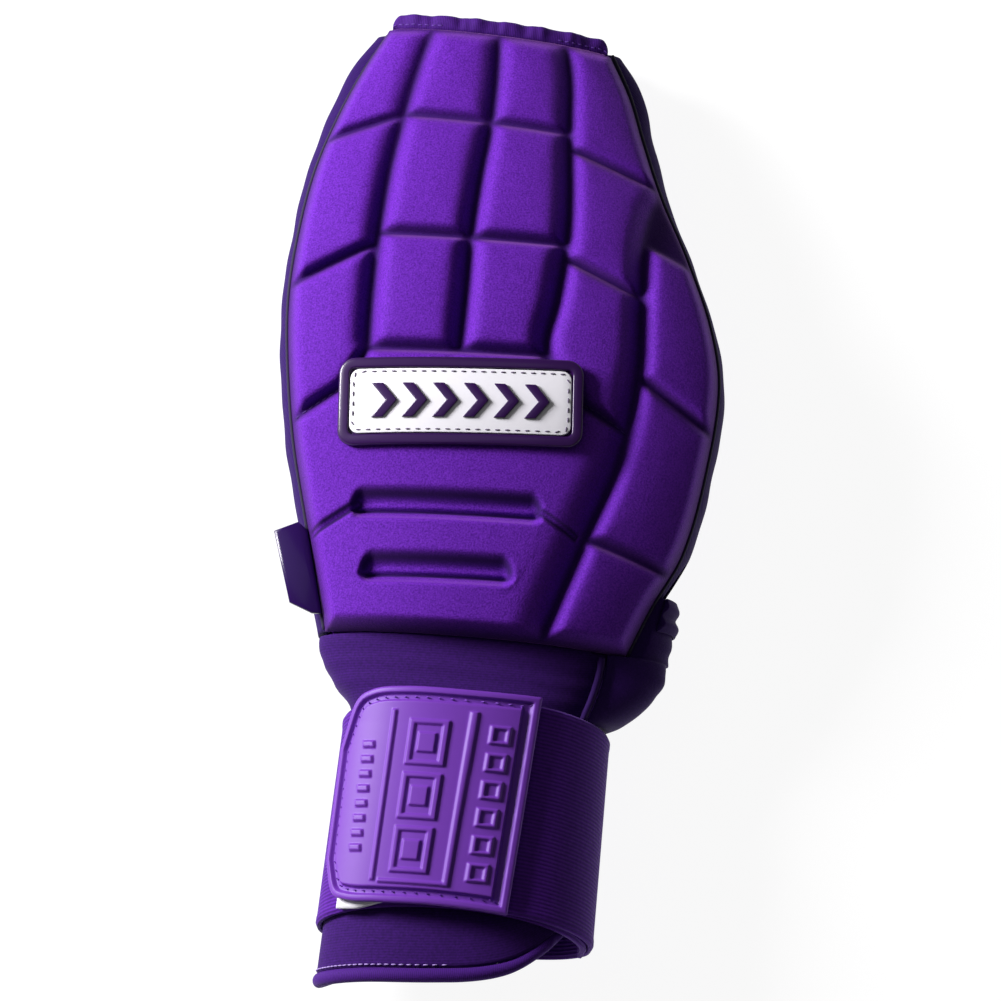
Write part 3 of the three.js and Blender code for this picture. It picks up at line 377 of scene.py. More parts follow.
@dataclass(frozen=True)
class Finish:
    """One finish of the mitt, built as a procedural material."""

    name: str
    slot: str
    colour: tuple[float, float, float]
    shade: tuple[float, float, float]
    surface: Surface = Surface.SMOOTH
    roughness: float = 0.8
    sheen: float = 0.0
    sheen_colour: tuple[float, float, float] = (1.0, 1.0, 1.0)
    coat: float = 0.0
    specular: float = 0.5
    pitch: float = 0.6
    relief: float = 0.3
    depth: float = 0.2
    fuzz: float = 0.3
    # Colour of the painted shade in grooves and slots, mixed in by a mesh attribute of the same name.
    recess_shade: tuple[float, float, float] | None = None

    def material(self) -> bpy.types.Material:
        """Makes the material once and reuses it.

        Returns:
            The material.
        """
        made = bpy.data.materials.get(self.name)
        if made:
            return made
        made = bpy.data.materials.new(self.name)
        made.use_nodes = True
        nodes, links = made.node_tree.nodes, made.node_tree.links
        shader = nodes["Principled BSDF"]
        shader.inputs["Roughness"].default_value = self.roughness
        shader.inputs["Sheen Weight"].default_value = self.sheen
        shader.inputs["Sheen Roughness"].default_value = SHEEN_ROUGHNESS
        shader.inputs["Sheen Tint"].default_value = (*self.sheen_colour, 1)
        shader.inputs["Coat Weight"].default_value = self.coat
        shader.inputs["Coat Roughness"].default_value = COAT_ROUGHNESS
        shader.inputs["Specular IOR Level"].default_value = self.specular
        pattern = self.pattern(nodes, links)
        mix = nodes.new("ShaderNodeMix")
        mix.data_type = "RGBA"
        mix.inputs["A"].default_value = (*self.shade, 1)
        mix.inputs["B"].default_value = (*self.colour, 1)
        links.new(pattern, mix.inputs["Factor"])
        # Painted shade: darkens the base colour towards the shade colour by the mesh attribute, in grooves
        # and slots.
        if self.recess_shade:
            mark = nodes.new("ShaderNodeAttribute")
            mark.attribute_name = "recess_shade"
            face, mix = mix, nodes.new("ShaderNodeMix")
            mix.data_type = "RGBA"
            links.new(mark.outputs["Fac"], mix.inputs["Factor"])
            links.new(face.outputs["Result"], mix.inputs["A"])
            mix.inputs["B"].default_value = (*self.recess_shade, 1)
        links.new(mix.outputs["Result"], shader.inputs["Base Color"])
        bump = nodes.new("ShaderNodeBump")
        bump.inputs["Strength"].default_value = self.relief
        bump.inputs["Distance"].default_value = self.depth * MM
        links.new(pattern, bump.inputs["Height"])
        links.new(bump.outputs["Normal"], shader.inputs["Normal"])
        return made

    def pattern(self, nodes: bpy.types.Nodes, links: bpy.types.NodeLinks) -> bpy.types.NodeSocket:
        """Builds the fine structure as a height from 0 to 1.

        Args:
            nodes: The material's nodes.
            links: The material's links.

        Returns:
            The socket that gives the height.
        """
        place = nodes.new("ShaderNodeTexCoord").outputs["Object"]
        fuzz = nodes.new("ShaderNodeTexNoise")
        fuzz.inputs["Scale"].default_value = 1 / (self.pitch * MM)
        fuzz.inputs["Detail"].default_value = NOISE_DETAIL
        links.new(place, fuzz.inputs["Vector"])
        if self.surface is Surface.SMOOTH:
            return fuzz.outputs["Fac"]
        spread = nodes.new("ShaderNodeMapRange")
        spread.inputs["From Min"].default_value = NOISE_LOW
        spread.inputs["From Max"].default_value = NOISE_HIGH
        links.new(fuzz.outputs["Fac"], spread.inputs["Value"])
        if self.surface is Surface.GRAIN:
            return spread.outputs["Result"]
        cloth = nodes.new("ShaderNodeUVMap")
        cloth.uv_map = "cloth"
        mapping = nodes.new("ShaderNodeMapping")
        mapping.inputs["Rotation"].default_value = (0, 0, math.radians(self.turn()))
        links.new(cloth.outputs["UV"], mapping.inputs["Vector"])
        bands = nodes.new("ShaderNodeTexWave")
        bands.wave_type, bands.bands_direction = "BANDS", "X"
        bands.inputs["Scale"].default_value = BANDS_PER_PITCH / self.pitch
        bands.inputs["Distortion"].default_value = BAND_UNEVENNESS
        bands.inputs["Detail Scale"].default_value = BAND_DETAIL
        links.new(mapping.outputs["Vector"], bands.inputs["Vector"])
        both = nodes.new("ShaderNodeMix")
        both.inputs["Factor"].default_value = self.fuzz
        links.new(bands.outputs["Fac"], both.inputs["A"])
        links.new(spread.outputs["Result"], both.inputs["B"])
        return both.outputs["Result"]

    def turn(self) -> float:
        """Direction of the bands on the cloth, in degrees."""
        return {Surface.TWILL: 45.0, Surface.RIB: 90.0, Surface.CORDED: 0.0}[self.surface]


CLOTH_SHEEN = (0.6, 0.4, 1.0)

# The pad fabric's recess colour is painted shade for its grooves and slots.
PAD_FABRIC = Finish(
    "moulded_pad_fabric", "pad_fabric", (0.128, 0.016, 0.40), (0.058, 0.004, 0.21), Surface.GRAIN,
    roughness=0.75, sheen=0.22, sheen_colour=(0.72, 0.28, 1.0), specular=0.12, pitch=0.55,
    relief=0.5, depth=0.14, recess_shade=(0.013, 0.001, 0.055),
)
# The side fabric's dark colour is partly the twill's own and partly painted shade for the mitt's sides.
SIDE_FABRIC = Finish(
    "twill_side_fabric", "side_fabric", (0.026, 0.002, 0.105), (0.009, 0.001, 0.042), Surface.TWILL,
    roughness=0.8, sheen=0.03, specular=0.12, sheen_colour=CLOTH_SHEEN, pitch=1.1, relief=0.5, depth=0.2,
)
# Seam cord colour: the seam is real, its near-black colour is painted shade for the crease between the back
# pad and the side walls.
SEAM_SHADE_CORD = Finish(
    "seam_crease_shade", "side_fabric", (0.010, 0.003, 0.035), (0.006, 0.002, 0.02), roughness=0.85, pitch=0.8,
)
CUFF_KNIT = Finish(
    "cuff_knit_fabric", "cuff_knit", (0.037, 0.005, 0.124), (0.016, 0.002, 0.058), Surface.RIB,
    roughness=0.85, sheen=0.08, specular=0.12, sheen_colour=CLOTH_SHEEN, pitch=0.8, relief=0.4,
    depth=0.14, fuzz=0.6,
)
STRETCH_KNIT = Finish(
    "smooth_stretch_knit", "stretch_knit", (0.028, 0.004, 0.10), (0.017, 0.002, 0.066), Surface.GRAIN,
    roughness=0.7, sheen=0.03, specular=0.12, sheen_colour=CLOTH_SHEEN, pitch=0.5, relief=0.3, depth=0.12,
)
BINDING = Finish(
    "folded_binding", "binding", (0.062, 0.009, 0.20), (0.026, 0.004, 0.090), Surface.CORDED,
    roughness=0.75, sheen=0.08, specular=0.12, sheen_colour=CLOTH_SHEEN, pitch=0.6, relief=0.4, depth=0.15,
)
DARK_PIPING = Finish(
    "dark_piping", "binding", (0.020, 0.003, 0.070), (0.013, 0.002, 0.045), specular=0.12, pitch=0.5,
)
STRAP_WEB = Finish(
    "ribbed_elastic_web", "strap_web", (0.092, 0.011, 0.29), (0.040, 0.005, 0.135), Surface.RIB,
    roughness=0.7, sheen=0.08, specular=0.12, sheen_colour=CLOTH_SHEEN, pitch=1.2, relief=0.7, depth=0.32,
)
PATCH_RUBBER = Finish(
    "satin_patch_rubber", "patch_rubber", (0.140, 0.033, 0.355), (0.131, 0.031, 0.335),
    roughness=0.45, pitch=2.0, relief=0.04, depth=0.1, specular=0.25,
)
BADGE_GLOSS = Finish(
    "glossy_badge_rim", "badge_gloss", (0.026, 0.004, 0.062), (0.022, 0.003, 0.054),
    roughness=0.28, pitch=3.0, relief=0.02, coat=0.35, specular=0.3,
)
BADGE_PLATE = Finish(
    "white_badge_plate", "badge_plate", (0.80, 0.79, 0.83), (0.76, 0.75, 0.80),
    roughness=0.34, pitch=1.2, relief=0.05, coat=0.2,
)
TAG_GLOSS = Finish(
    "glossy_tag", "tag_gloss", (0.018, 0.003, 0.066), (0.015, 0.003, 0.058),
    roughness=0.25, relief=0.02, coat=0.15, specular=0.25,
)
HOOK_TAPE = Finish(
    "white_hook_tape", "hook_tape", (0.80, 0.79, 0.82), (0.62, 0.61, 0.65),
    roughness=0.9, pitch=0.5, relief=0.6,
)
BADGE_THREAD = Finish("grey_thread", "badge_plate", (0.13, 0.10, 0.17), (0.09, 0.07, 0.12), pitch=0.3)
DARK_THREAD = Finish("dark_thread", "pad_fabric", (0.05, 0.008, 0.16), (0.03, 0.006, 0.11), pitch=0.3)
SIDE_THREAD = Finish("violet_thread", "side_fabric", (0.10, 0.025, 0.28), (0.06, 0.015, 0.20), pitch=0.3)
PALE_THREAD = Finish("pale_thread", "stretch_knit", (0.36, 0.24, 0.58), (0.28, 0.18, 0.48), pitch=0.3)


# Pads


@dataclass(frozen=True)
class Block:
    """A raised block between two long grooves: its low and high edge at each, and an extra corner."""

    left: Curve
    right: Curve
    low: tuple[float, float]
    high: tuple[float, float]
    bend: tuple[float, float] | None = None


RIM_LEFT = Curve((0.0, 1.0), (-1.0, -1.0))
RIM_RIGHT = Curve((0.0, 1.0), (1.0, 1.0))
GROOVE_A = Curve((0.452, 0.540, 0.649, 0.747, 0.845, 1.0), (-0.626, -0.607, -0.587, -0.568, -0.568, -0.607))
GROOVE_B = Curve((0.452, 0.540, 0.649, 0.747, 0.845, 1.0), (-0.205, -0.166, -0.117, -0.049, 0.0, -0.010))
GROOVE_C = Curve(
    (0.378, 0.452, 0.540, 0.649, 0.747, 0.845, 1.0), (0.352, 0.196, 0.264, 0.372, 0.460, 0.509, 0.587)
)
GROOVE_D = Curve(
    (0.0, 0.079, 0.167, 0.295, 0.442, 0.540, 0.649, 0.707, 0.757, 1.0),
    (0.427, 0.460, 0.477, 0.577, 0.621, 0.665, 0.773, 0.881, 1.0, 1.0),
)
BLOCKS = (
    Block(RIM_LEFT, GROOVE_A, (0.324, 0.442), (0.543, 0.615), (-0.744, 0.378)),
    Block(RIM_LEFT, GROOVE_A, (0.543, 0.615), (0.793, 0.840)),
    Block(RIM_LEFT, GROOVE_A, (0.793, 0.840), (1.0, 1.0)),
    Block(GROOVE_A, GROOVE_B, (0.442, 0.446), (0.633, 0.635)),
    Block(GROOVE_A, GROOVE_B, (0.633, 0.635), (0.842, 0.840)),
    Block(GROOVE_A, GROOVE_B, (0.842, 0.840), (1.0, 1.0)),
    Block(GROOVE_B, GROOVE_C, (0.446, 0.450), (0.635, 0.637)),
    Block(GROOVE_B, GROOVE_C, (0.635, 0.637), (0.840, 0.835)),
    Block(GROOVE_B, GROOVE_C, (0.840, 0.835), (1.0, 1.0)),
    Block(GROOVE_C, GROOVE_D, (0.378, 0.338), (0.614, 0.563)),
    Block(GROOVE_C, GROOVE_D, (0.614, 0.563), (0.808, 0.760)),
    Block(GROOVE_C, RIM_RIGHT, (0.808, 0.760), (1.0, 1.0)),
    Block(GROOVE_D, RIM_RIGHT, (0.432, 0.356), (0.660, 0.629)),
    Block(GROOVE_D, RIM_RIGHT, (0.166, 0.129), (0.432, 0.356)),
    Block(GROOVE_D, RIM_RIGHT, (0.0, 0.0), (0.166, 0.129)),
)
# Each long groove with its start, its end and how far it shares in the wider side at the heel.
LONG_GROOVES = (
    (GROOVE_A, 0.452, 1.0, 0.0),
    (GROOVE_B, 0.452, 1.0, 0.0),
    (GROOVE_C, 0.378, 1.0, 0.0),
    (GROOVE_D, -0.01, 0.757, 1.0),
)
HEEL_CORNERS = ((0.352, 0.378), (0.196, 0.450), (-0.626, 0.442), (-0.744, 0.378))
SEWN_GROOVES = (
    ((-0.97, 0.330), (-0.744, 0.378), (-0.72, 0.389)),
    ((0.352, 0.378), (0.45, 0.366), (0.575, 0.342)),
)


@dataclass(frozen=True)
class Slot:
    """A relief slot across the heel: both ends as shares, and its size as a share."""

    start: tuple[float, float]
    end: tuple[float, float]
    size: float = 1.0


SLOTS = (
    Slot((-0.69, 0.192), (0.17, 0.199)),
    Slot((-0.97, 0.148), (-0.72, 0.190), 0.36),
    Slot((-0.66, 0.093), (0.08, 0.098)),
    Slot((0.21, 0.198), (0.42, 0.166), 0.30),
)


def pad_mesh(name: str, form: PadForm, outer: Callable, inner: Callable, columns: int, rows: int) -> Piece:
    """Closes a dense outer face with a plain inner face.

    Args:
        name: The piece's name.
        form: The pads' shared form.
        outer: Gives the outer face's height from x, y and both shares.
        inner: Gives the inner face's height from x and y.
        columns: Cells across, a multiple of eight.
        rows: Cells along.

    Returns:
        The closed pad.
    """
    coarse = 8
    each = columns // coarse
    across, along = np.meshgrid(np.linspace(-1, 1, columns + 1), np.linspace(0, 1, rows + 1))
    x, y = form.place(across, along)
    top = np.stack([x, y, outer(x, y, across, along)], axis=-1)
    low_x, low_y = x[:, ::each], y[:, ::each]
    low = np.stack([low_x, low_y, inner(low_x, low_y)], axis=-1)
    cut, start, low_cut = columns + 1, top.shape[0] * top.shape[1], coarse + 1
    r, c = np.meshgrid(np.arange(rows), np.arange(columns), indexing="ij")
    first = r * cut + c
    faces = np.stack([first, first + 1, first + 1 + cut, first + cut], axis=-1).reshape(-1, 4).tolist()
    r, c = np.meshgrid(np.arange(rows), np.arange(coarse), indexing="ij")
    first = start + r * low_cut + c
    under = np.stack([first, first + low_cut, first + 1 + low_cut, first + 1], axis=-1)
    faces += under.reshape(-1, 4).tolist()
    for row in range(rows):
        for column, low_column in ((0, 0), (columns, coarse)):
            a, b = row * cut + column, start + row * low_cut + low_column
            faces.append([a, a + cut, b + low_cut, b])
    for row in (0, rows):
        for k in range(coarse):
            a, b = row * cut + k * each, start + row * low_cut + k
            half = each // 2
            faces += [[b, a + i, a + i + 1] for i in range(half)]
            faces.append([b, a + half, b + 1])
            faces += [[b + 1, a + i, a + i + 1] for i in range(half, each)]
    return lay(name, np.concatenate([top.reshape(-1, 3), low.reshape(-1, 3)]), faces)


def softened(height: Array, passes: int) -> Array:
    """Rounds a grid of heights by passes of averaging with the next points.

    Args:
        height: Heights by row and column.
        passes: Number of passes.

    Returns:
        The softened heights.
    """
    for _ in range(passes):
        wide = np.pad(height, 1, mode="edge")
        around = wide[:-2, 1:-1] + wide[2:, 1:-1] + wide[1:-1, :-2] + wide[1:-1, 2:]
        height = (4 * height + around) / 8
    return height


@dataclass
class BackPad:
    """The moulded pad over the back of the hand: soft blocks with grooves between them, and slots."""

    form: PadForm
    columns: int = 208
    rows: int = 400
    height: float = 7.0
    tip_height: float = 4.4
    tip_start: float = 0.55
    groove_floor: float = 0.9
    groove_sink: float = 0.6
    groove_half: float = 0.35
    groove_step: float = 0.02
    sink_half: float = 0.6
    shoulder: float = 3.4
    shoulder_power: float = 2.4
    long_half: float = 0.8
    long_shoulder: float = 7.0
    long_power: float = 2.2
    steeper_right: float = 1.6
    heel_shoulder: float = 4.5
    heel_fade: tuple[float, float] = (0.50, 0.30)
    pillow: float = 0.9
    pillow_reach: float = 9.0
    slot_width: float = 8.2
    slot_lower: float = 3.6
    slot_depth: float = 4.2
    slot_end: float = 5.0
    slot_flat: float = 0.25
    # Painted shade: wall_shade, wall_fade, groove_shade and shade_half set the darkening in the slots and
    # grooves.
    wall_shade: float = 0.95
    wall_fade: tuple[float, float] = (-0.1, 0.25)
    groove_shade: float = 0.85
    shade_half: float = 1.7
    crease: float = 1.7
    crease_half: float = 0.65
    crease_drop: float = 2.0
    edge_round: float = 1.8
    edge_thin: float = 0.7
    tip_drop: float = 0.5
    tip_run: tuple[float, float] = (3.0, 1.0)
    rim_clear: float = 0.3
    rim_shoulder: float = 4.2
    tip_ease: float = 0.7
    stitch_pitch: float = 2.5
    stitch_lift: float = 0.12
    stitch_size: tuple[float, float] = (1.7, 0.45)
    soft_passes: int = 9
    puff: Array | None = None
    relief: Array | None = None

    def groove(self, groove: Curve, start: float, end: float) -> list[tuple[float, float]]:
        """Places along one groove.

        Args:
            groove: The groove.
            start: Share of the length where it starts.
            end: Share of the length where it ends.

        Returns:
            The points.
        """
        along = np.linspace(start, end, max(2, round(abs(end - start) / self.groove_step) + 1))
        x, y = self.form.place(groove.at(along), along)
        return list(zip(x.tolist(), y.tolist()))

    def point(self, shares: tuple[float, float]) -> tuple[float, float]:
        """One place from its shares across and along."""
        x, y = self.form.place(np.array(shares[0]), np.array(shares[1]))
        return float(x), float(y)

    def outlines(self) -> list[Array]:
        """Outlines of all blocks, from groove middle to groove middle.

        Returns:
            One array of corners for each block, the heel block last.
        """
        found = []
        for block in BLOCKS:
            bend = [self.point(block.bend)] if block.bend else []
            found.append(np.array(
                self.groove(block.left, block.high[0], block.low[0]) + bend
                + self.groove(block.right, block.low[1], block.high[1])
            ))
        found.append(np.array(
            self.groove(RIM_LEFT, 0.324, 0.0) + self.groove(GROOVE_D, 0.0, 0.338)
            + [self.point(corner) for corner in HEEL_CORNERS]
        ))
        return found

    def depth_inside(self, x: Array, y: Array) -> Array:
        """How far each place lies inside its block, from the middle of the groove.

        Args:
            x: The places' x.
            y: The places' y.

        Returns:
            The distances, 0 in the middle of a groove.
        """
        best = np.zeros(x.shape)
        for outline in self.outlines():
            (x0, y0), (x1, y1) = outline.min(0) - 1, outline.max(0) + 1
            near = (x > x0) & (x < x1) & (y > y0) & (y < y1)
            best[near] = np.maximum(best[near], inside_distance(x[near], y[near], outline))
        return best

    def block_height(self, y: Array) -> Array:
        """Full height of the blocks above the pad's base."""
        return lerp(self.height, self.tip_height, smoothstep(y / self.form.length, self.tip_start, 1))

    def rise(self, x: Array, y: Array) -> Array:
        """Height of the blocks and grooves above the pad's base.

        Args:
            x: The places' x.
            y: The places' y.

        Returns:
            The heights.
        """
        depth = self.depth_inside(x, y)
        clear = depth - self.groove_half
        full = self.block_height(y) - self.pillow
        cross = 1 - (1 - np.clip(clear / self.shoulder, 0, 1)) ** self.shoulder_power
        lift = lerp(self.groove_floor, full, np.minimum(cross, self.valley(x, y)))
        lift += self.pillow * (1 - np.exp(-np.maximum(clear, 0) / self.pillow_reach))
        return lift - self.groove_sink * np.exp(-((depth / self.sink_half) ** 2))

    def valley(self, x: Array, y: Array) -> Array:
        """Share of the full height beside the long grooves, whose sides are wider and softer.

        Args:
            x: The places' x.
            y: The places' y.

        Returns:
            The shares, 0 in a groove and 1 clear of it.
        """
        share = np.ones(x.shape)
        heel = smoothstep(y / self.form.length, *self.heel_fade)
        for groove, start, end, wide in LONG_GROOVES:
            away, side = line_distance(x, y, np.array(self.groove(groove, start, end)))
            wider = self.heel_shoulder * wide * heel * (side > 0)
            soft = self.long_shoulder + wider - self.steeper_right * (side < 0)
            t = np.clip((away - self.long_half) / soft, 0, 1)
            share = np.minimum(share, 1 - (1 - t) ** self.long_power)
        return share

    def slots(self, x: Array, y: Array) -> tuple[Array, Array]:
        """Depth of the relief slots, each with a fold along its lower side, and their painted shade.

        Args:
            x: The places' x.
            y: The places' y.

        Returns:
            The depths, and shares of painted shade that are 1 where a slot is darkest.
        """
        depth, dark = np.zeros(x.shape), np.zeros(x.shape)
        for slot in SLOTS:
            start, end = np.array(self.point(slot.start)), np.array(self.point(slot.end))
            run = float(np.linalg.norm(end - start))
            way = (end - start) / run
            forward = (x - start[0]) * way[0] + (y - start[1]) * way[1]
            above = (y - start[1]) * way[0] - (x - start[0]) * way[1] + self.crease_drop * slot.size
            past = np.maximum(0, np.maximum(-forward, forward - run)) / (self.slot_end * slot.size)
            aside = above / np.where(above > 0, self.slot_width, self.slot_lower) / slot.size
            share = smoothstep(np.hypot(aside, past), 1.0, self.slot_flat)
            fold = np.exp(-((above / self.crease_half) ** 2)) * (1 - np.clip(past, 0, 1) ** 2)
            depth = np.maximum(depth, slot.size * (self.slot_depth * share + self.crease * fold))
            # Painted shade on the slots' upper walls and along their folds.
            wall = 4 * share * (1 - share) * smoothstep(aside, *self.wall_fade)
            dark = np.maximum(dark, np.maximum(fold, self.wall_shade * wall))
        return depth, dark

    def outer(self, x: Array, y: Array, across: Array, along: Array) -> Array:
        """Height of the outer face.

        Args:
            x: The places' x.
            y: The places' y.
            across: Share of half the width.
            along: Share of the length.

        Returns:
            The heights.
        """
        form = self.form
        side, tip = (1 - np.abs(across)) * form.half(y), (1 - along) * form.length
        rim = np.minimum(side, np.minimum(along * form.length, tip))
        clear = np.minimum(rim - self.rim_clear, (tip - self.rim_clear) * self.tip_ease)
        near_rim = 1 - (1 - np.clip(clear / self.rim_shoulder, 0, 1)) ** self.shoulder_power
        at_tip = smoothstep(side, 0.0, self.tip_run[0]) * smoothstep(tip, *self.tip_run)
        thin = lerp(self.edge_thin, form.base - self.tip_drop, at_tip)
        drop = (form.base - thin) * (1 - np.sqrt(1 - (1 - np.clip(rim / self.edge_round, 0, 1)) ** 2))
        if self.relief is None:
            lift = self.rise(x, y) - self.slots(x, y)[0]
        else:
            lift = self.sampled(self.relief, across, along)
        swell = 0 if self.puff is None else self.sampled(self.puff, across, along)
        return form.back_under(x, y) + form.base - drop + (lift + swell) * near_rim

    def sampled(self, grid: Array, across: Array, along: Array) -> Array:
        """Reads a grid of heights at shares across and along.

        Args:
            grid: Heights by row and column over the whole pad.
            across: Share of half the width.
            along: Share of the length.

        Returns:
            The heights in millimetres.
        """
        rows, columns = grid.shape
        u, v = (across + 1) / 2 * (columns - 1), along * (rows - 1)
        i, j = np.clip(u.astype(int), 0, columns - 2), np.clip(v.astype(int), 0, rows - 2)
        s, t = u - i, v - j
        s, t = s * s * (3 - 2 * s), t * t * (3 - 2 * t)
        low = grid[j, i] * (1 - s) + grid[j, i + 1] * s
        high = grid[j + 1, i] * (1 - s) + grid[j + 1, i + 1] * s
        return low * (1 - t) + high * t

    def on_face(self, x: Array, y: Array, rise: float) -> Array:
        """Points on the outer face.

        Args:
            x: The places' x.
            y: The places' y.
            rise: Height over the face.

        Returns:
            The points.
        """
        across = (x - self.form.middle(y)) / self.form.half(y)
        return np.stack([x, y, self.outer(x, y, across, y / self.form.length) + rise], axis=-1)

    def stitch_lines(self) -> Piece:
        """Sews the cover down in the short grooves at both sides of the badge.

        Returns:
            The stitches.
        """
        places, ways = [], []
        for line in SEWN_GROOVES:
            corners = np.array([self.point(shares) for shares in line])
            x, y = resampled(corners, self.stitch_pitch, closed=False).T
            middles = self.on_face(x, y, self.stitch_lift)
            places.append(middles)
            ways.append(np.gradient(middles, axis=0))
        return sew("pad_groove_stitches", np.concatenate(places), np.concatenate(ways), *self.stitch_size)

    def grid(self) -> tuple[Array, Array]:
        """Places of the cover's grid points."""
        across, along = np.meshgrid(np.linspace(-1, 1, self.columns + 1), np.linspace(0, 1, self.rows + 1))
        return self.form.place(across, along)

    def paint_recess_shade(self, pad: Piece) -> None:
        """Stores the painted shade for each place of the cover, darkest in the grooves and slots, for its
        finish.

        Args:
            pad: The pad.
        """
        x, y = self.grid()
        # Painted shade, strongest in the middle of each groove, and in the slots.
        groove = self.groove_shade * np.exp(-((self.depth_inside(x, y) / self.shade_half) ** 2))
        painted_shade = np.zeros(len(pad.data.vertices))
        painted_shade[:x.size] = np.maximum(groove, self.slots(x, y)[1]).ravel()
        pad.data.attributes.new("recess_shade", "FLOAT", "POINT").data.foreach_set("value", painted_shade)

    def build(self) -> Piece:
        """Builds and dresses the pad.

        Returns:
            The piece.
        """
        x, y = self.grid()
        self.relief = softened(self.rise(x, y), self.soft_passes) - self.slots(x, y)[0]
        finish_piece(self.stitch_lines(), DARK_THREAD)
        pad = pad_mesh("back_pad_shell", self.form, self.outer, self.form.back_under, self.columns, self.rows)
        self.paint_recess_shade(pad)
        finish_piece(pad, PAD_FABRIC, "back_pad")
        return pad


@dataclass
class Inflation:
    """Cloth simulation that swells the pad's cover between its grooves."""

    columns: int = 76
    rows: int = 108
    pressure: float = 4.0
    mass: float = 0.2
    stretch: float = 15.0
    bending: float = 0.5
    quality: int = 4
    frames: int = 20
    pin_depth: float = 1.5
    pin_rim: float = 2.5
    cap: float = 1.1

    def run(self, pad: "BackPad") -> Array:
        """Swells the cover and measures how far it rises.

        Args:
            pad: The pad.

        Returns:
            The rise in millimetres, by row along and column across.
        """
        form = pad.form
        across, along = np.meshgrid(np.linspace(-1, 1, self.columns), np.linspace(0, 1, self.rows))
        x, y = form.place(across, along)
        rest = np.stack([x, y, pad.outer(x, y, across, along)], axis=-1)
        rim = np.minimum((1 - np.abs(across)) * form.half(y), np.minimum(along, 1 - along) * form.length)
        held = (pad.depth_inside(x, y) < self.pin_depth) | (rim < self.pin_rim)
        r, c = np.meshgrid(np.arange(self.rows - 1), np.arange(self.columns - 1), indexing="ij")
        first = r * self.columns + c
        faces = np.stack([first, first + 1, first + 1 + self.columns, first + self.columns], axis=-1)
        mesh = bpy.data.meshes.new("cover")
        mesh.from_pydata((rest.reshape(-1, 3) * MM).tolist(), [], faces.reshape(-1, 4).tolist())
        cover = bpy.data.objects.new("cover", mesh)
        bpy.context.scene.collection.objects.link(cover)
        cover.vertex_groups.new(name="held").add(np.flatnonzero(held.ravel()).tolist(), 1.0, "REPLACE")
        self.swell(cover)
        depsgraph = bpy.context.evaluated_depsgraph_get()
        swollen = np.empty(self.rows * self.columns * 3)
        cover.evaluated_get(depsgraph).data.vertices.foreach_get("co", swollen)
        rise = (swollen.reshape(rest.shape)[..., 2] / MM) - rest[..., 2]
        bpy.data.objects.remove(cover)
        bpy.context.scene.frame_set(1)
        LOG.info("cover swelled by %.2f mm at most", rise.max())
        return np.clip(rise, 0, self.cap)

    def swell(self, cover: Piece) -> None:
        """Sets the cloth up and steps through its frames.

        Args:
            cover: The cover, with its held places in a vertex group.
        """
        cloth = cover.modifiers.new("cloth", "CLOTH")
        settings = cloth.settings
        settings.quality = self.quality
        settings.mass = self.mass
        settings.tension_stiffness = settings.compression_stiffness = self.stretch
        settings.bending_stiffness = self.bending
        settings.use_pressure = True
        settings.uniform_pressure_force = self.pressure
        settings.vertex_group_mass = "held"
        settings.effector_weights.gravity = 0
        cloth.collision_settings.use_collision = False
        cloth.point_cache.frame_start, cloth.point_cache.frame_end = 1, self.frames
        for number in range(1, self.frames + 1):
            bpy.context.scene.frame_set(number)


@dataclass
class PalmPad:
    """The thinner pad under the palm, with four flat blocks that the mitt lies on."""

    form: PadForm
    columns: int = 112
    rows: int = 168
    shoulder: float = 6.5
    shoulder_power: float = 2.3
    sole: float = 0.15
    edge_round: float = 1.6
    edge_thin: float = 0.7
    side_points: int = 8
    blocks: tuple[tuple[float, float, float], ...] = (
        (0.035, 0.270, 0.84), (0.290, 0.520, 0.86), (0.540, 0.750, 0.84), (0.770, 0.955, 0.80),
    )

    def outline(self, low: float, high: float, across: float) -> Array:
        """Outline of one block from its low and high edge and its share of the width.

        Args:
            low: Share of the length at the low edge.
            high: Share of the length at the high edge.
            across: Share of half the width.

        Returns:
            The corners.
        """
        along = np.linspace(high, low, self.side_points)
        aside = np.full(self.side_points, across)
        left = np.stack(self.form.place(-aside, along), axis=-1)
        right = np.stack(self.form.place(aside, along[::-1]), axis=-1)
        return np.concatenate([left, right])

    def outer(self, x: Array, y: Array, across: Array, along: Array) -> Array:
        """Height of the outer face.

        Args:
            x: The places' x.
            y: The places' y.
            across: Share of half the width.
            along: Share of the length.

        Returns:
            The heights.
        """
        depth = np.zeros(x.shape)
        for block in self.blocks:
            depth = np.maximum(depth, inside_distance(x, y, self.outline(*block)))
        under = self.form.palm_over(x, y) - self.form.base
        t = np.clip(depth / self.shoulder, 0, 1)
        ends = np.minimum(along, 1 - along) * self.form.length
        rim = np.minimum((1 - np.abs(across)) * self.form.half(y), ends)
        edge = np.clip(rim / self.edge_round, 0, 1)
        lip = (self.form.base - self.edge_thin) * (1 - np.sqrt(1 - (1 - edge) ** 2))
        return lerp(under, self.sole, 1 - (1 - t) ** self.shoulder_power) + lip

    def build(self) -> Piece:
        """Builds and dresses the pad.

        Returns:
            The piece.
        """
        pad = pad_mesh("palm_pad_shell", self.form, self.outer, self.form.palm_over, self.columns, self.rows)
        finish_piece(pad, PAD_FABRIC, "palm_pad")
        return pad


# Soft sides and hems


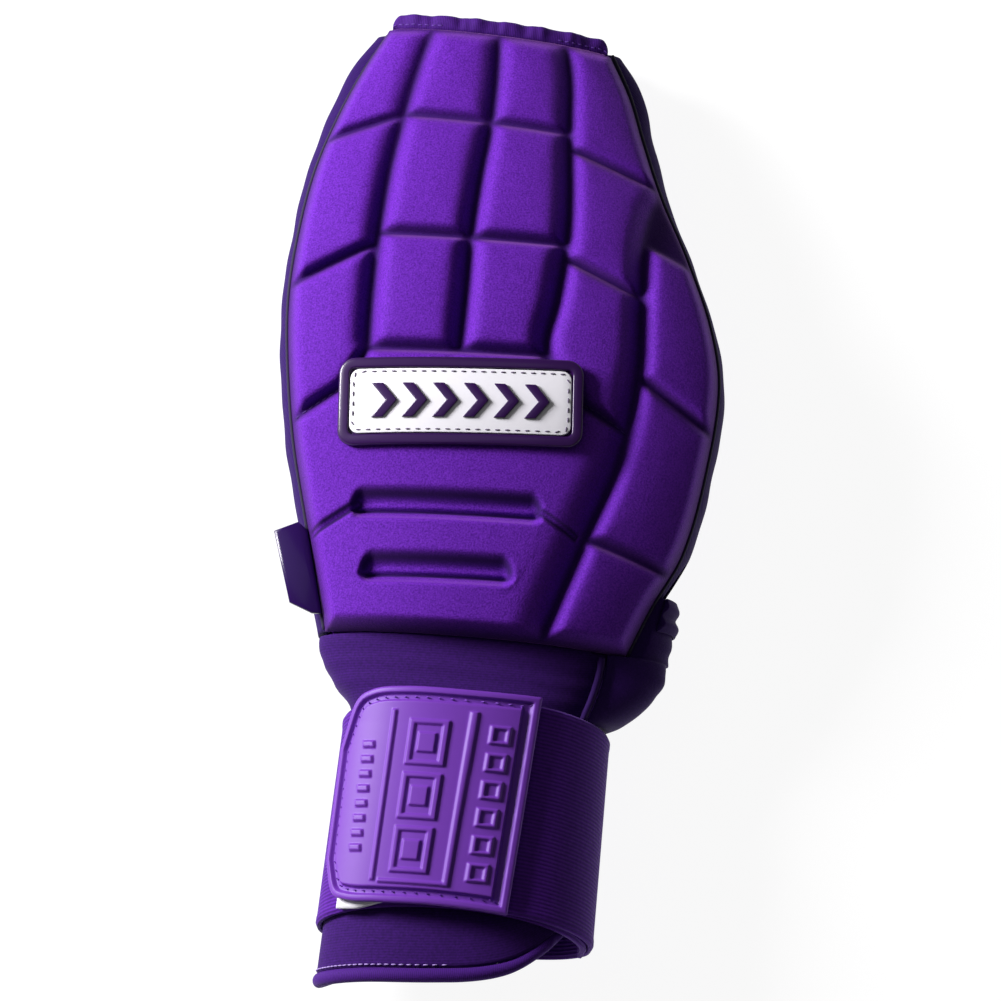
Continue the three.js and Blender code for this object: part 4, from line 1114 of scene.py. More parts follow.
def tube(name: str, middles: Array, radius: float, sides: int) -> Piece:
    """Runs a round cord through points.

    Args:
        name: The piece's name.
        middles: The points, in order.
        radius: Its radius.
        sides: Points round it.

    Returns:
        The cord.
    """
    way = np.gradient(middles, axis=0)
    way /= np.linalg.norm(way, axis=1, keepdims=True)
    across = np.cross(np.array([0.0, 0.0, 1.0]), way)
    across /= np.linalg.norm(across, axis=1, keepdims=True) + 1e-9
    up = np.cross(way, across)
    turn = np.linspace(0, 2 * math.pi, sides, endpoint=False)
    rings = (
        middles[:, None]
        + radius * np.cos(turn)[None, :, None] * across[:, None]
        + radius * np.sin(turn)[None, :, None] * up[:, None]
    )
    return skin(name, rings, cloth_of(rings, False))


@dataclass
class SideWalls:
    """The twill bands between the pads, each with a near-black seam cord along the back pad's edge, its
    colour painted shade for the crease there.
    """

    form: PadForm
    gap: float = 0.3
    thickness: float = 2.2
    bulge: float = 3.3
    inset: float = 0.4
    thumb_start: float = 20.6
    hole_height: float = 15.0
    hole_depth: float = 15.0
    hole_sides: int = 40
    cutter_length: float = 60.0
    stations: int = 150
    places: int = 19
    bulge_power: float = 0.6
    lip: float = 0.05
    ripple: float = 0.22
    ripple_turns: tuple[float, float] = (0.31, 0.083)
    seam_radius: float = 0.62
    seam_shift: tuple[float, float] = (0.25, 0.35)
    seam_ends: tuple[float, float] = (0.6, 0.4)
    seam_points: int = 260
    flat_run: float = 1.04
    flat_height: float = 0.72

    def point(self, side: int, y: Array, share: Array, depth: float) -> Array:
        """Points of one wall.

        Args:
            side: -1 left or 1 right.
            y: Places along the mitt.
            share: Share of the wall's height.
            depth: Depth into the wall.

        Returns:
            The points.
        """
        form = self.form
        edge = form.edge(side, y)
        low, high = form.palm_over(edge, y) + self.gap, form.back_under(edge, y) - self.gap
        arch = np.sin(math.pi * share)
        fast, slow = self.ripple_turns
        out = self.bulge * form.bulge.at(y / form.length) * arch**self.bulge_power
        out = out + self.ripple * np.sin(y * fast + side) * np.sin(y * slow) * arch
        x = edge + side * (out - depth - self.inset)
        return np.stack(np.broadcast_arrays(x, y, lerp(low, high, share)), axis=-1)

    def wall(self, side: int, start: float) -> Piece:
        """Builds one wall from a place along the mitt to the tip.

        Args:
            side: -1 left or 1 right.
            start: Where it starts.

        Returns:
            The wall.
        """
        y = np.linspace(start, self.form.length, self.stations)[:, None]
        share = (0.5 - 0.5 * np.cos(np.linspace(0, math.pi, self.places)))[None]
        outer = self.point(side, y, share, 0.0)
        inner = self.point(side, y, share, self.thickness)
        inner[..., 2] = np.clip(inner[..., 2], outer[:, :1, 2] + self.lip, outer[:, -1:, 2] - self.lip)
        rings = np.concatenate([outer, inner[:, ::-1]], axis=1)
        return skin(f"side_wall_{'left' if side < 0 else 'right'}", rings, cloth_of(rings, False))

    def bite(self, piece: Piece) -> None:
        """Cuts the rounded opening for the thumb into the right wall.

        Args:
            piece: The wall.
        """
        y = self.thumb_start
        edge = float(self.form.edge(1, y))
        low, high = float(self.form.palm_over(edge, y)), float(self.form.back_under(edge, y))
        deselect()
        bpy.ops.mesh.primitive_cylinder_add(
            vertices=self.hole_sides, radius=1, depth=self.cutter_length * MM, location=(0, 0, 0),
        )
        cutter = bpy.context.object
        turned = Matrix.Rotation(math.pi / 2, 4, "Y")
        size = Matrix.Diagonal((1, self.hole_depth * MM, self.hole_height / 2 * MM, 1))
        place = Matrix.Translation(Vector((np.array([edge, y, (low + high) / 2]) + OFFSET) * MM))
        cutter.data.transform(place @ size @ turned)
        cutter.location = (0, 0, 0)
        apply_boolean(piece, cutter)

    def seam(self, side: int) -> Piece:
        """Builds the seam cord between the back pad and one wall; the seam is real, its near-black colour is
        painted shade for the crease.

        Args:
            side: -1 left or 1 right.

        Returns:
            The seam.
        """
        y = np.linspace(self.seam_ends[0], self.form.length - self.seam_ends[1], self.seam_points)
        edge = self.form.edge(side, y)
        x = edge + side * self.seam_shift[0]
        z = self.form.back_under(edge, y) + self.seam_shift[1]
        line = np.stack([x, y, z], axis=-1)
        return tube(f"side_seam_{'left' if side < 0 else 'right'}", line, self.seam_radius, sides=8)

    def build(self) -> None:
        """Builds and dresses both walls and their seams."""
        for side, start, node in ((-1, self.gap, "gusset_left"), (1, self.thumb_start, "gusset_right")):
            piece = self.wall(side, start)
            if side > 0:
                self.bite(piece)
            finish_piece(piece, SIDE_FABRIC, node)
            finish_piece(self.seam(side), SEAM_SHADE_CORD)


def apply_boolean(piece: Piece, cutter: Piece) -> None:
    """Cuts one closed piece out of another and removes it.

    Args:
        piece: The piece that is cut.
        cutter: The piece that is cut out.
    """
    deselect()
    bpy.context.view_layer.objects.active = piece
    piece.select_set(True)
    cut = piece.modifiers.new("opening", "BOOLEAN")
    cut.operation, cut.solver, cut.object = "DIFFERENCE", "EXACT", cutter
    bpy.ops.object.modifier_apply(modifier=cut.name)
    bpy.data.objects.remove(cutter)
    deselect()


@dataclass
class TipHems:
    """The two gathered elastic hems of the open tip."""

    form: PadForm
    height: float = 5.0
    thickness: float = 2.6
    wave: float = 0.7
    waves: int = 7
    gathers: int = 17
    gather: float = 0.12
    gather_drift: tuple[float, float] = (0.8, 19.0)
    gather_pull: float = 0.35
    gap: float = 0.02
    rings: int = 300
    places: int = 20
    half_span: float = 0.97
    taper: tuple[float, float, float] = (0.90, 0.075, 0.04)
    stitch_side: int = 6
    sewn_run: float = 17.0
    stitch_pitch: float = 2.3
    stitch_margins: tuple[float, float] = (0.8, 0.5)
    stitch_size: tuple[float, float] = (1.5, 0.4)

    def build_one(self, name: str, over: Callable, node: str) -> None:
        """Builds one hem.

        Args:
            name: The piece's name.
            over: Gives the height of the pad edge's middle from x and y.
            node: The CAD node that it stands for.
        """
        across = np.linspace(-self.half_span, self.half_span, self.rings)
        x, y = self.form.place(across, np.ones_like(across))
        turn = (np.arange(self.places) + 0.5) / self.places * 2 * math.pi
        start, run, least = self.taper
        past = np.clip((np.abs(across) - start) / run, 0, 1)
        ends = np.sqrt(np.clip(1 - past**2, least, 1))[:, None]
        reach = self.height / 2 * (1 + np.cos(turn)) * ends + self.gap
        wave = self.wave * np.sin(across * math.pi * self.waves)
        drift, drift_turns = self.gather_drift
        drift = drift * np.sin(across * drift_turns)
        gather = self.gather * np.sin(across * math.pi * self.gathers + drift)
        lift = wave[:, None] * reach / self.height
        lift = lift + (self.thickness / 2 + gather[:, None]) * np.sin(turn)[None]
        rings = np.stack(np.broadcast_arrays(
            x[:, None], y[:, None] + reach + self.gather_pull * gather[:, None],
            over(x, y)[:, None] + lift,
        ), axis=-1)
        hem = skin(name, rings, cloth_of(rings, False))
        finish_piece(hem, BINDING, node)
        if node == "tip_hem_back":
            self.stitches(rings)

    def stitches(self, rings: Array) -> None:
        """Sews the hem down near both corners.

        Args:
            rings: The hem's points.
        """
        crest = rings[:, self.stitch_side]
        run = np.concatenate([[0], np.cumsum(np.linalg.norm(np.diff(crest, axis=0), axis=1))])
        first, last = self.stitch_margins
        marks = np.concatenate([
            np.arange(first, self.sewn_run, self.stitch_pitch),
            np.arange(run[-1] - self.sewn_run, run[-1] - last, self.stitch_pitch),
        ])
        line, ahead = (
            np.stack([np.interp(marks + step, run, crest[:, k]) for k in range(3)], axis=-1)
            for step in (0.0, self.stitch_size[0] / 3)
        )
        finish_piece(sew("tip_hem_stitches", line, ahead - line, *self.stitch_size), SIDE_THREAD)

    def build(self) -> None:
        """Builds both hems."""
        form = self.form
        self.build_one("tip_hem_over", lambda x, y: form.back_under(x, y) + form.base / 2, "tip_hem_back")
        self.build_one("tip_hem_under", lambda x, y: form.palm_over(x, y) - form.base / 2, "tip_hem_palm")


# Cuff


@dataclass(frozen=True)
class CuffForm:
    """Sections and far edge of the cuff, which the strap, patch and thumb gusset follow."""

    form: PadForm
    gap: float = 0.3
    wall: float = 2.5
    length: float = 106.0
    flare_length: float = 30.0
    wrist_left: float = 38.8
    wrist_right: float = 39.3
    wrist_low: float = 2.3
    wrist_height: float = 48.0
    end_spread: float = 3.2
    root_left: float = ROOT_LEFT
    root_right: float = 44.5
    squareness: float = 2.25
    tongue_margin: float = 2.9
    flare: Curve = Curve((0.0, 0.20, 0.28, 0.47, 0.72, 0.90, 1.0), (0.0, 0.0, 0.05, 0.46, 0.86, 1.0, 1.0))
    end: Curve = Curve(
        (0.0, 0.06, 0.12, 0.18, 0.25, 0.35, 0.50, 0.58, 0.66, 0.75, 0.82, 0.90, 0.96, 1.0),
        (0.72, 0.78, 0.865, 0.945, 0.985, 1.0, 1.01, 0.98, 0.92, 0.885, 0.855, 0.78, 0.73, 0.72),
    )

    def far_edge(self, angle: Array) -> Array:
        """Place of the cuff's far edge at an angle in degrees."""
        return -self.length * self.end.at(np.mod(angle, 360) / 360)

    def at(self, angle: Array, y: Array, out: Array | float = 0.0) -> Array:
        """Points on the cuff.

        Args:
            angle: Degrees from the thumb side towards the back of the hand.
            y: Places along the mitt.
            out: Distance outwards.

        Returns:
            The points.
        """
        angle, y, out = np.broadcast_arrays(*(np.asarray(given, float) for given in (angle, y, out)))
        form, zero = self.form, np.zeros_like(y)
        inside = y >= 0
        flare = self.flare.at(1 + y / self.flare_length)
        spread = self.end_spread * np.maximum(0, (-y - self.flare_length) / (self.length - self.flare_length))
        left = np.where(inside, -form.edge(-1, y) - self.tongue_margin,
                        lerp(self.wrist_left, self.root_left, flare) + spread)
        right = np.where(inside, form.edge(1, y) - self.tongue_margin,
                         lerp(self.wrist_right, self.root_right, flare))
        root_low = form.palm_over(zero, zero) + self.gap
        root_high = form.back_under(zero, zero) - 2 * self.gap
        low = np.where(inside, form.palm_over(zero, y) + self.gap, lerp(self.wrist_low, root_low, flare))
        high = np.where(inside, form.back_under(zero, y) - 2 * self.gap,
                        lerp(self.wrist_low + self.wrist_height, root_high, flare))
        power = 2 / np.where(inside, 2.0, self.squareness)
        c, s = np.cos(np.radians(angle)), np.sin(np.radians(angle))
        x = np.sign(c) * np.abs(c) ** power * (np.where(c < 0, left, right) + out)
        z = (low + high) / 2 + np.sign(s) * np.abs(s) ** power * ((high - low) / 2 + out)
        floor = form.palm_over(x, y) + self.gap + np.minimum(-out, self.wall)
        ceiling = form.back_under(x, y) - 2 * self.gap + np.maximum(out, -self.wall)
        z = np.where(inside, np.clip(z, floor, ceiling), z)
        return np.stack([x, y, z], axis=-1)

    def wrist(self, angle: Array, y: Array, out: Array | float) -> Array:
        """Points over the wrist, which keeps its size past the start of the flare.

        Args:
            angle: Degrees round the wrist.
            y: Places along the mitt.
            out: Distance outwards.

        Returns:
            The points.
        """
        points = self.at(angle, np.minimum(y, -self.flare_length), out)
        points[..., 1] = y
        return points


@dataclass
class Cuff:
    """The knit sleeve with soft folds above the strap, and its rolled binding."""

    cuff: CuffForm
    tongue: float = 14.0
    turns: int = 180
    stations: int = 90
    fold: float = 0.18
    fold_starts: tuple[float, float] = (1.0, 8.0)
    fold_ends: tuple[float, float] = (44.0, 26.0)
    fold_turns: tuple[float, float] = (1.05, 0.47)
    fold_drift: float = 1.4
    wide_share: float = 0.5
    binding_width: float = 4.6
    binding_places: int = 16
    seam_gap: float = 0.01
    binding_thickness: float = 4.2
    strap_reach: float = 66.5
    stitch_angles: tuple[float, float, float] = (92.0, 196.0, 3.4)
    stitch_shift: tuple[float, float] = (0.7, 0.05)
    stitch_size: tuple[float, float] = (1.5, 0.45)

    def sleeve(self) -> Piece:
        """Builds the sleeve.

        Returns:
            The sleeve.
        """
        angle = np.linspace(0, 360, self.turns, endpoint=False)[:, None]
        share = np.linspace(0, 1, self.stations)[None]
        y = lerp(self.tongue, self.cuff.far_edge(angle), share)
        reach = smoothstep(-y, *self.fold_starts) * smoothstep(-y, *self.fold_ends)
        turn = np.radians(angle)
        fine, wide = self.fold_turns
        waves = np.sin(y * fine + self.fold_drift * np.sin(2 * turn))
        fold = self.fold * reach * (waves + self.wide_share * np.sin(y * wide + 3 * turn))
        outer = self.cuff.at(angle, y, fold - self.fold)
        inner = self.cuff.at(angle, y, -self.cuff.wall)
        rings = np.concatenate([outer, inner[:, ::-1]], axis=1)
        return skin("cuff_sleeve", rings, cloth_of(rings, True), True)

    def binding(self, strap_top: Callable) -> Piece:
        """Builds the rolled binding, thin where the strap covers it.

        Args:
            strap_top: Gives the strap's upper edge from the angle.

        Returns:
            The binding.
        """
        angle = np.linspace(0, 360, self.turns, endpoint=False)[:, None]
        end = self.cuff.far_edge(angle) - self.seam_gap - self.binding_width / 2
        below_strap = strap_top(angle) - self.strap_reach - end
        clear = smoothstep(below_strap, self.binding_width / 2, self.binding_width)
        thickness = lerp(self.cuff.wall, self.binding_thickness, clear)
        turn = (np.arange(self.binding_places) / self.binding_places * 2 * math.pi)[None]
        out = thickness / 2 * np.sin(turn) - self.cuff.wall / 2
        rings = self.cuff.at(angle, end + self.binding_width / 2 * np.cos(turn), out)
        return skin("cuff_binding_roll", rings, cloth_of(rings, True), True)

    def build(self, strap_top: Callable) -> None:
        """Builds and dresses the sleeve and its binding.

        Args:
            strap_top: Gives the strap's upper edge from the angle.
        """
        sleeve = finish_piece(self.sleeve(), CUFF_KNIT, "cuff")
        binding = finish_piece(self.binding(strap_top), BINDING, "cuff_binding")
        finish_piece(self.stitches(), PALE_THREAD)

    def stitches(self) -> Piece:
        """Sews the sleeve's edge where the strap leaves it bare.

        Returns:
            The stitches.
        """
        angle = np.arange(*self.stitch_angles)
        inwards, outwards = self.stitch_shift
        line = self.cuff.at(angle, self.cuff.far_edge(angle) + inwards, outwards)
        return sew("cuff_edge_stitches", line, np.gradient(line, axis=0), *self.stitch_size)


# Strap and patch


@dataclass
class WristStrap:
    """The wide ribbed elastic strap, wound round the wrist with its end over its start."""

    cuff: CuffForm
    width: float = 66.5
    thickness: float = 2.0
    top: float = -28.0
    crest: float = 8.0
    step_down: float = 1.5
    start: float = -10.0
    lift_start: float = 310.0
    lift_end: float = 345.0
    end: float = 440.0
    rings: int = 260
    places: int = 56
    step_end: float = 90.0
    hem: float = 3.2
    hem_rise: float = 0.16
    hem_soft: tuple[float, float] = (0.5, 0.6)
    edge_drop: float = 0.5
    edge_round: float = 0.8

    def upper_edge(self, angle: Array) -> Array:
        """Upper edge of the strap at an angle in degrees."""
        return self.top + self.crest * (0.5 + 0.5 * np.sin(np.radians(angle))) ** 2

    def lift(self, angle: Array) -> Array:
        """How far the strap's inner face lies off the cuff."""
        share = np.clip((angle - self.lift_start) / (self.lift_end - self.lift_start), 0, 1)
        return self.cuff.gap + (self.thickness + self.cuff.gap) * share

    def build(self) -> Piece:
        """Builds and dresses the strap.

        Returns:
            The piece.
        """
        angle = np.linspace(self.start, self.end, self.rings)[:, None]
        under = np.clip(1 - angle / self.step_end, 0, 1)
        place = np.linspace(0, self.width, self.places)[None]
        y = self.upper_edge(angle) - self.step_down * under - place
        edge = np.minimum(place, self.width - place)
        inner_soft, outer_soft = self.hem_soft
        band = smoothstep(edge, self.hem + inner_soft, self.hem) * smoothstep(edge, 0.0, outer_soft)
        band = self.hem_rise * band
        foot = self.lift(angle)
        round_off = self.edge_drop * (1 - np.clip(edge / self.edge_round, 0, 1)) ** 2
        outer = self.cuff.wrist(angle, y, foot + self.thickness + band - round_off - self.hem_rise)
        inner = self.cuff.wrist(angle, y, foot + round_off)
        rings = np.concatenate([outer, inner[:, ::-1]], axis=1)
        strap = skin("wrist_strap_web", rings, cloth_of(rings, False))
        finish_piece(strap, STRAP_WEB, "wrist_strap")
        run = float(np.linalg.norm(np.diff(outer[:, self.places // 2], axis=0), axis=1).sum())
        return strap


@dataclass(frozen=True)
class Mark:
    """A raised mark on the patch: its span along and aside as shares, its ring's width and its slant."""

    start: float
    end: float
    low: float
    high: float
    ring: float = 0.0
    slant: float = 0.0


@dataclass
class StrapPatch:
    """The moulded patch on the strap: rim, stitch channel, plateau and raised bars."""

    strap: WristStrap
    start: float = 69.0
    end: float = 150.0
    skew: float = 3.5
    height: float = 69.0
    foot: float = 4.9
    base: float = 1.4
    rise: float = 0.9
    bar_rise: float = 0.8
    rim: float = 2.2
    channel: float = 2.2
    soft: float = 0.4
    groove_drop: float = 0.5
    edge_drop: float = 0.5
    edge_round: float = 0.9
    bar_soft: tuple[float, float] = (0.25, 0.3)
    raised_by: float = 1.5
    outline_points: int = 40
    stitch_pitch: float = 2.9
    stitch_lift: float = 0.1
    stitch_size: tuple[float, float] = (1.9, 0.42)
    length: float = 51.5
    columns: int = 196
    rows: int = 220
    top_rows: Curve = Curve((0.0, 0.30, 0.60, 0.80, 0.92, 1.0), (1.0, 1.0, 1.0, 0.96, 0.82, 0.42))
    bottom_rows: Curve = Curve((0.0, 0.30, 0.60, 0.80, 0.92, 1.0), (1.0, 0.97, 0.97, 0.96, 0.88, 0.60))

    def at(self, along: Array, aside: Array, rise: Array | float) -> Array:
        """Points on the patch.

        Args:
            along: Share of its length from the strap's end.
            aside: Share of half its height.
            rise: Height over its foot.

        Returns:
            The points.
        """
        angle = lerp(self.start, self.end, along) - self.skew * aside * (1 - along)
        middle = self.strap.upper_edge(np.array(90.0)) + self.raised_by - self.height / 2
        return self.strap.cuff.wrist(angle, middle + aside * self.height / 2, self.foot + rise)

    def outline(self) -> Array:
        """Outline of the flat patch in millimetres.

        Returns:
            The corners.
        """
        along = np.linspace(0, 1, self.outline_points)
        top = np.stack([along * self.length, self.top_rows.at(along) * self.height / 2], axis=-1)
        bottom = np.stack([along * self.length, -self.bottom_rows.at(along) * self.height / 2], axis=-1)
        return np.concatenate([bottom, top[::-1]])

    def relief(self, along: Array, aside: Array) -> Array:
        """Height of the patch's face over its foot.

        Args:
            along: Share of its length.
            aside: Share of half its height.

        Returns:
            The heights.
        """
        x, y = along * self.length, aside * self.height / 2
        depth = inside_distance(x, y, self.outline())
        plateau = self.rim + self.channel
        rim = smoothstep(depth, self.rim + self.soft, self.rim - self.soft)
        raised = np.maximum(rim, smoothstep(depth, plateau - self.soft, plateau + self.soft))
        edge = self.edge_drop * (1 - np.clip(depth / self.edge_round, 0, 1)) ** 2
        height = self.base - self.groove_drop * (1 - raised) + self.rise * raised - edge
        soft_out, soft_in = self.bar_soft
        for mark in self.marks():
            shift = along - mark.slant * (aside - (mark.low + mark.high) / 2)
            inside = np.minimum.reduce([
                (shift - mark.start) * self.length, (mark.end - shift) * self.length,
                (aside - mark.low) * self.height / 2, (mark.high - aside) * self.height / 2,
            ])
            raised = smoothstep(inside, -soft_out, soft_in)
            if mark.ring:
                raised = raised * smoothstep(inside, mark.ring + soft_out, mark.ring - soft_in)
            height = height + self.bar_rise * raised
        return height

    def marks(self) -> list[Mark]:
        """Plain raised marks: thin lines, three framed squares and two rows of small bars.

        Returns:
            The marks, lines first.
        """
        found = [Mark(0.265, 0.290, -0.80, 0.80), Mark(0.620, 0.645, -0.78, 0.78)]
        found.append(Mark(0.29, 0.60, -0.80, -0.765))
        for low in (-0.70, -0.21, 0.28):
            found.append(Mark(0.36, 0.545, low, low + 0.42, ring=1.5))
            found.append(Mark(0.41, 0.495, low + 0.12, low + 0.30))
        for step in 0.252 * np.arange(6):
            found.append(Mark(0.125, 0.215, step - 0.74, step - 0.57, ring=1.1))
        for step in 0.135 * np.arange(8):
            found.append(Mark(0.725, 0.800, step - 0.52, step - 0.46, slant=0.10))
        return found

    def build(self) -> None:
        """Builds and dresses the patch and the stitches in its channel."""
        along = np.linspace(0, 1, self.columns)[:, None]
        share = np.linspace(0, 1, self.rows)[None]
        aside = lerp(-self.bottom_rows.at(along), self.top_rows.at(along), share)
        along = np.broadcast_to(along, aside.shape)
        outer = self.at(along, aside, self.relief(along, aside))
        inner = self.at(along, aside, 0.0)
        rings = np.concatenate([outer, inner[:, ::-1]], axis=1)
        finish_piece(skin("strap_patch_moulding", rings, cloth_of(rings, False)), PATCH_RUBBER, "strap_patch")
        self.stitches()

    def stitches(self) -> None:
        """Sews the patch down along its channel."""
        line = resampled(shrunk(self.outline(), self.rim + self.channel / 2), self.stitch_pitch)
        size = np.array([[self.length], [self.height / 2]])
        half_way, ahead = (lerp(line, np.roll(line, -1, axis=0), share).T / size for share in (0.5, 0.6))
        places = self.at(*half_way, self.base - self.groove_drop + self.stitch_lift)
        ways = self.at(*ahead, self.base) - places
        finish_piece(sew("patch_stitches", places, ways, *self.stitch_size), PATCH_RUBBER)


@dataclass
class HookPad:
    """The white hook tape that shows under the patch's lower edge."""

    strap: WristStrap
    start: float = 83.0
    end: float = 143.0
    foot: float = 2.6
    thickness: float = 1.7
    height: float = 65.0
    patch_height: float = 69.0
    lowered_by: float = 1.5
    tuck: float = 3.0
    tuck_angles: tuple[float, float] = (134.0, 112.0)
    rings: int = 60
    places: int = 50

    def build(self) -> Piece:
        """Builds and dresses the hook tape.

        Returns:
            The piece.
        """
        middle = float(self.strap.upper_edge(np.array(90.0))) - self.lowered_by - self.patch_height / 2
        angle = np.linspace(self.start, self.end, self.rings)[:, None]
        tuck = self.tuck * smoothstep(angle, *self.tuck_angles)
        y = middle + self.height / 2 - (self.height - tuck) * np.linspace(0, 1, self.places)[None]
        outer = self.strap.cuff.wrist(angle, y, self.foot + self.thickness)
        inner = self.strap.cuff.wrist(angle, y, self.foot)
        rings = np.concatenate([outer, inner[:, ::-1]], axis=1)
        return finish_piece(skin("hook_tape_pad", rings, cloth_of(rings, False)), HOOK_TAPE, "hook_pad")


# Thumb gusset


@dataclass(frozen=True)
class Fold:
    """A soft fold across the thumb pocket."""

    depth: float
    middle: float
    slant: float
    turning: float
    half: float


@dataclass
class ThumbGusset:
    """The stretch knit pocket at the thumb side, its two-lobed hem and the piped seam."""

    cuff: CuffForm
    rise: float = 20.0
    drop: float = 23.0
    bulge: float = 13.5
    wall: float = 1.5
    half_angle: float = 28.0
    bulge_power: float = 0.6
    edge_inset: float = 0.4
    lean: float = 150.0
    folds: tuple[Fold, ...] = (
        Fold(depth=0.75, middle=3.0, slant=7.0, turning=0.5, half=2.2),
        Fold(depth=0.4, middle=-9.0, slant=-9.0, turning=0.6, half=2.0),
    )
    inner_fold: float = 0.55
    pocket_rings: int = 90
    pocket_places: int = 61
    hem_width: float = 10.5
    hem_thickness: float = 2.0
    hem_span: tuple[float, float] = (0.1, 0.9)
    hem_rings: int = 90
    hem_places: int = 34
    piping_radius: float = 1.1
    piping_angle: float = 35.0
    piping_span: tuple[float, float] = (0.07, 0.97)
    piping_points: int = 40
    rows: Curve = Curve(
        (-1.0, -0.91, -0.64, -0.31, -0.12, 0.0, 0.30, 0.60, 1.0),
        (0.10, 0.40, 0.76, 1.0, 0.99, 0.98, 0.85, 0.62, 0.36),
    )
    hem_rows: Curve = Curve((0.0, 0.25, 0.50, 0.75, 1.0), (0.35, 1.0, 0.45, 0.95, 0.40))

    def at(self, share: Array, y: Array, out: Array | float) -> Array:
        """Points on the gusset.

        Args:
            share: Share round it from the palm to the back.
            y: Places along the mitt.
            out: Distance outwards.

        Returns:
            The points.
        """
        share, y, out = np.broadcast_arrays(*(np.asarray(given, float) for given in (share, y, out)))
        form, gap = self.cuff.form, self.cuff.gap
        above = y >= 0
        along = np.where(above, y / self.rise, y / self.drop)
        arch = np.sin(math.pi * np.clip(share, 0, 1)) ** self.bulge_power
        bulge = self.bulge * self.rows.at(along) * arch
        edge = form.edge(1, y)
        low, high = form.palm_over(edge, y) + gap, form.back_under(edge, y) - gap
        foot = self.cuff.at(lerp(-self.half_angle, self.half_angle, share), y, gap)
        x = np.where(above, edge - self.edge_inset, foot[..., 0])
        z = np.where(above, lerp(low, high, share), foot[..., 2])
        lean = np.radians(self.lean) * (share - 0.5)
        z = z + out * np.sin(lean)
        z = np.where(above, np.clip(z, low, high), z)
        return np.stack([x + bulge + out * np.cos(lean), y, z], axis=-1)

    def pocket(self) -> Piece:
        """Builds the pocket, with its soft folds.

        Returns:
            The pocket.
        """
        y = lerp(-self.drop, self.rise, np.linspace(0, 1, self.pocket_rings))[:, None]
        share = (0.5 - 0.5 * np.cos(np.linspace(0, math.pi, self.pocket_places)))[None]
        sunk = 0.0
        for fold in self.folds:
            away = (y - fold.middle + fold.slant * (share - fold.turning)) / fold.half
            sunk = sunk + fold.depth * np.exp(-(away**2)) * np.sin(math.pi * share)
        outer = self.at(share, y, self.wall - sunk)
        inner = self.at(share, y, -self.inner_fold * sunk)
        rings = np.concatenate([outer, inner[:, ::-1]], axis=1)
        return skin("thumb_pocket", rings, cloth_of(rings, False))

    def hem(self) -> Piece:
        """Builds the two-lobed hem.

        Returns:
            The hem.
        """
        share = np.linspace(*self.hem_span, self.hem_rings)[:, None]
        along = np.linspace(0, 1, self.hem_places)[None]
        y = self.rise - self.hem_width * (1 - along)
        foot = self.wall + self.cuff.gap
        outer = self.at(share, y, foot + self.hem_rows.at(along) * self.hem_thickness)
        inner = self.at(share, y, foot)
        rings = np.concatenate([outer, inner[:, ::-1]], axis=1)
        return skin("thumb_hem_roll", rings, cloth_of(rings, False))

    def piping(self) -> Piece:
        """Builds the piped seam from the pad's corner over the cuff.

        Returns:
            The piping.
        """
        y = -self.drop * np.linspace(*self.piping_span, self.piping_points)
        line = self.cuff.at(np.full_like(y, self.piping_angle), y, self.piping_radius + 2 * self.cuff.gap)
        return tube("thumb_seam_piping", line, self.piping_radius, sides=12)

    def build(self) -> None:
        """Builds and dresses the pocket, its hem and the piping."""
        pocket = finish_piece(self.pocket(), STRETCH_KNIT, "thumb_gusset")
        hem = finish_piece(self.hem(), STRETCH_KNIT, "thumb_hem")
        finish_piece(self.piping(), DARK_PIPING, "thumb_piping")


# Stitches


THREAD_POWER = 0.85
THREAD_SIDES, THREAD_RINGS = 6, 4


def shrunk(outline: Array, distance: float) -> Array:
    """Moves each corner of an anticlockwise outline inwards.

    Args:
        outline: The corners.
        distance: How far.

    Returns:
        The moved corners.
    """
    way = np.roll(outline, -1, axis=0) - np.roll(outline, 1, axis=0)
    way /= np.linalg.norm(way, axis=1, keepdims=True)
    inwards = np.stack([-way[:, 1], way[:, 0]], axis=-1)
    before, after = outline - np.roll(outline, 1, axis=0), np.roll(outline, -1, axis=0) - outline
    before /= np.linalg.norm(before, axis=1, keepdims=True) + 1e-9
    after /= np.linalg.norm(after, axis=1, keepdims=True) + 1e-9
    grow = 1 / np.sqrt(np.clip((1 + (before * after).sum(axis=1)) / 2, 0.3, 1))
    return outline + inwards * (distance * grow)[:, None]


def resampled(corners: Array, pitch: float, closed: bool = True) -> Array:
    """Places points at equal distances along a line or round an outline.

    Args:
        corners: The line's corners.
        pitch: The distance wanted.
        closed: Whether the last corner joins the first.

    Returns:
        The points.
    """
    if closed:
        corners = np.concatenate([corners, corners[:1]])
    run = np.concatenate([[0], np.cumsum(np.linalg.norm(np.diff(corners, axis=0), axis=1))])
    count = max(3, round(run[-1] / pitch) + (not closed))
    places = np.linspace(0, run[-1], count, endpoint=not closed)
    return np.stack([np.interp(places, run, corners[:, k]) for k in range(corners.shape[1])], axis=-1)


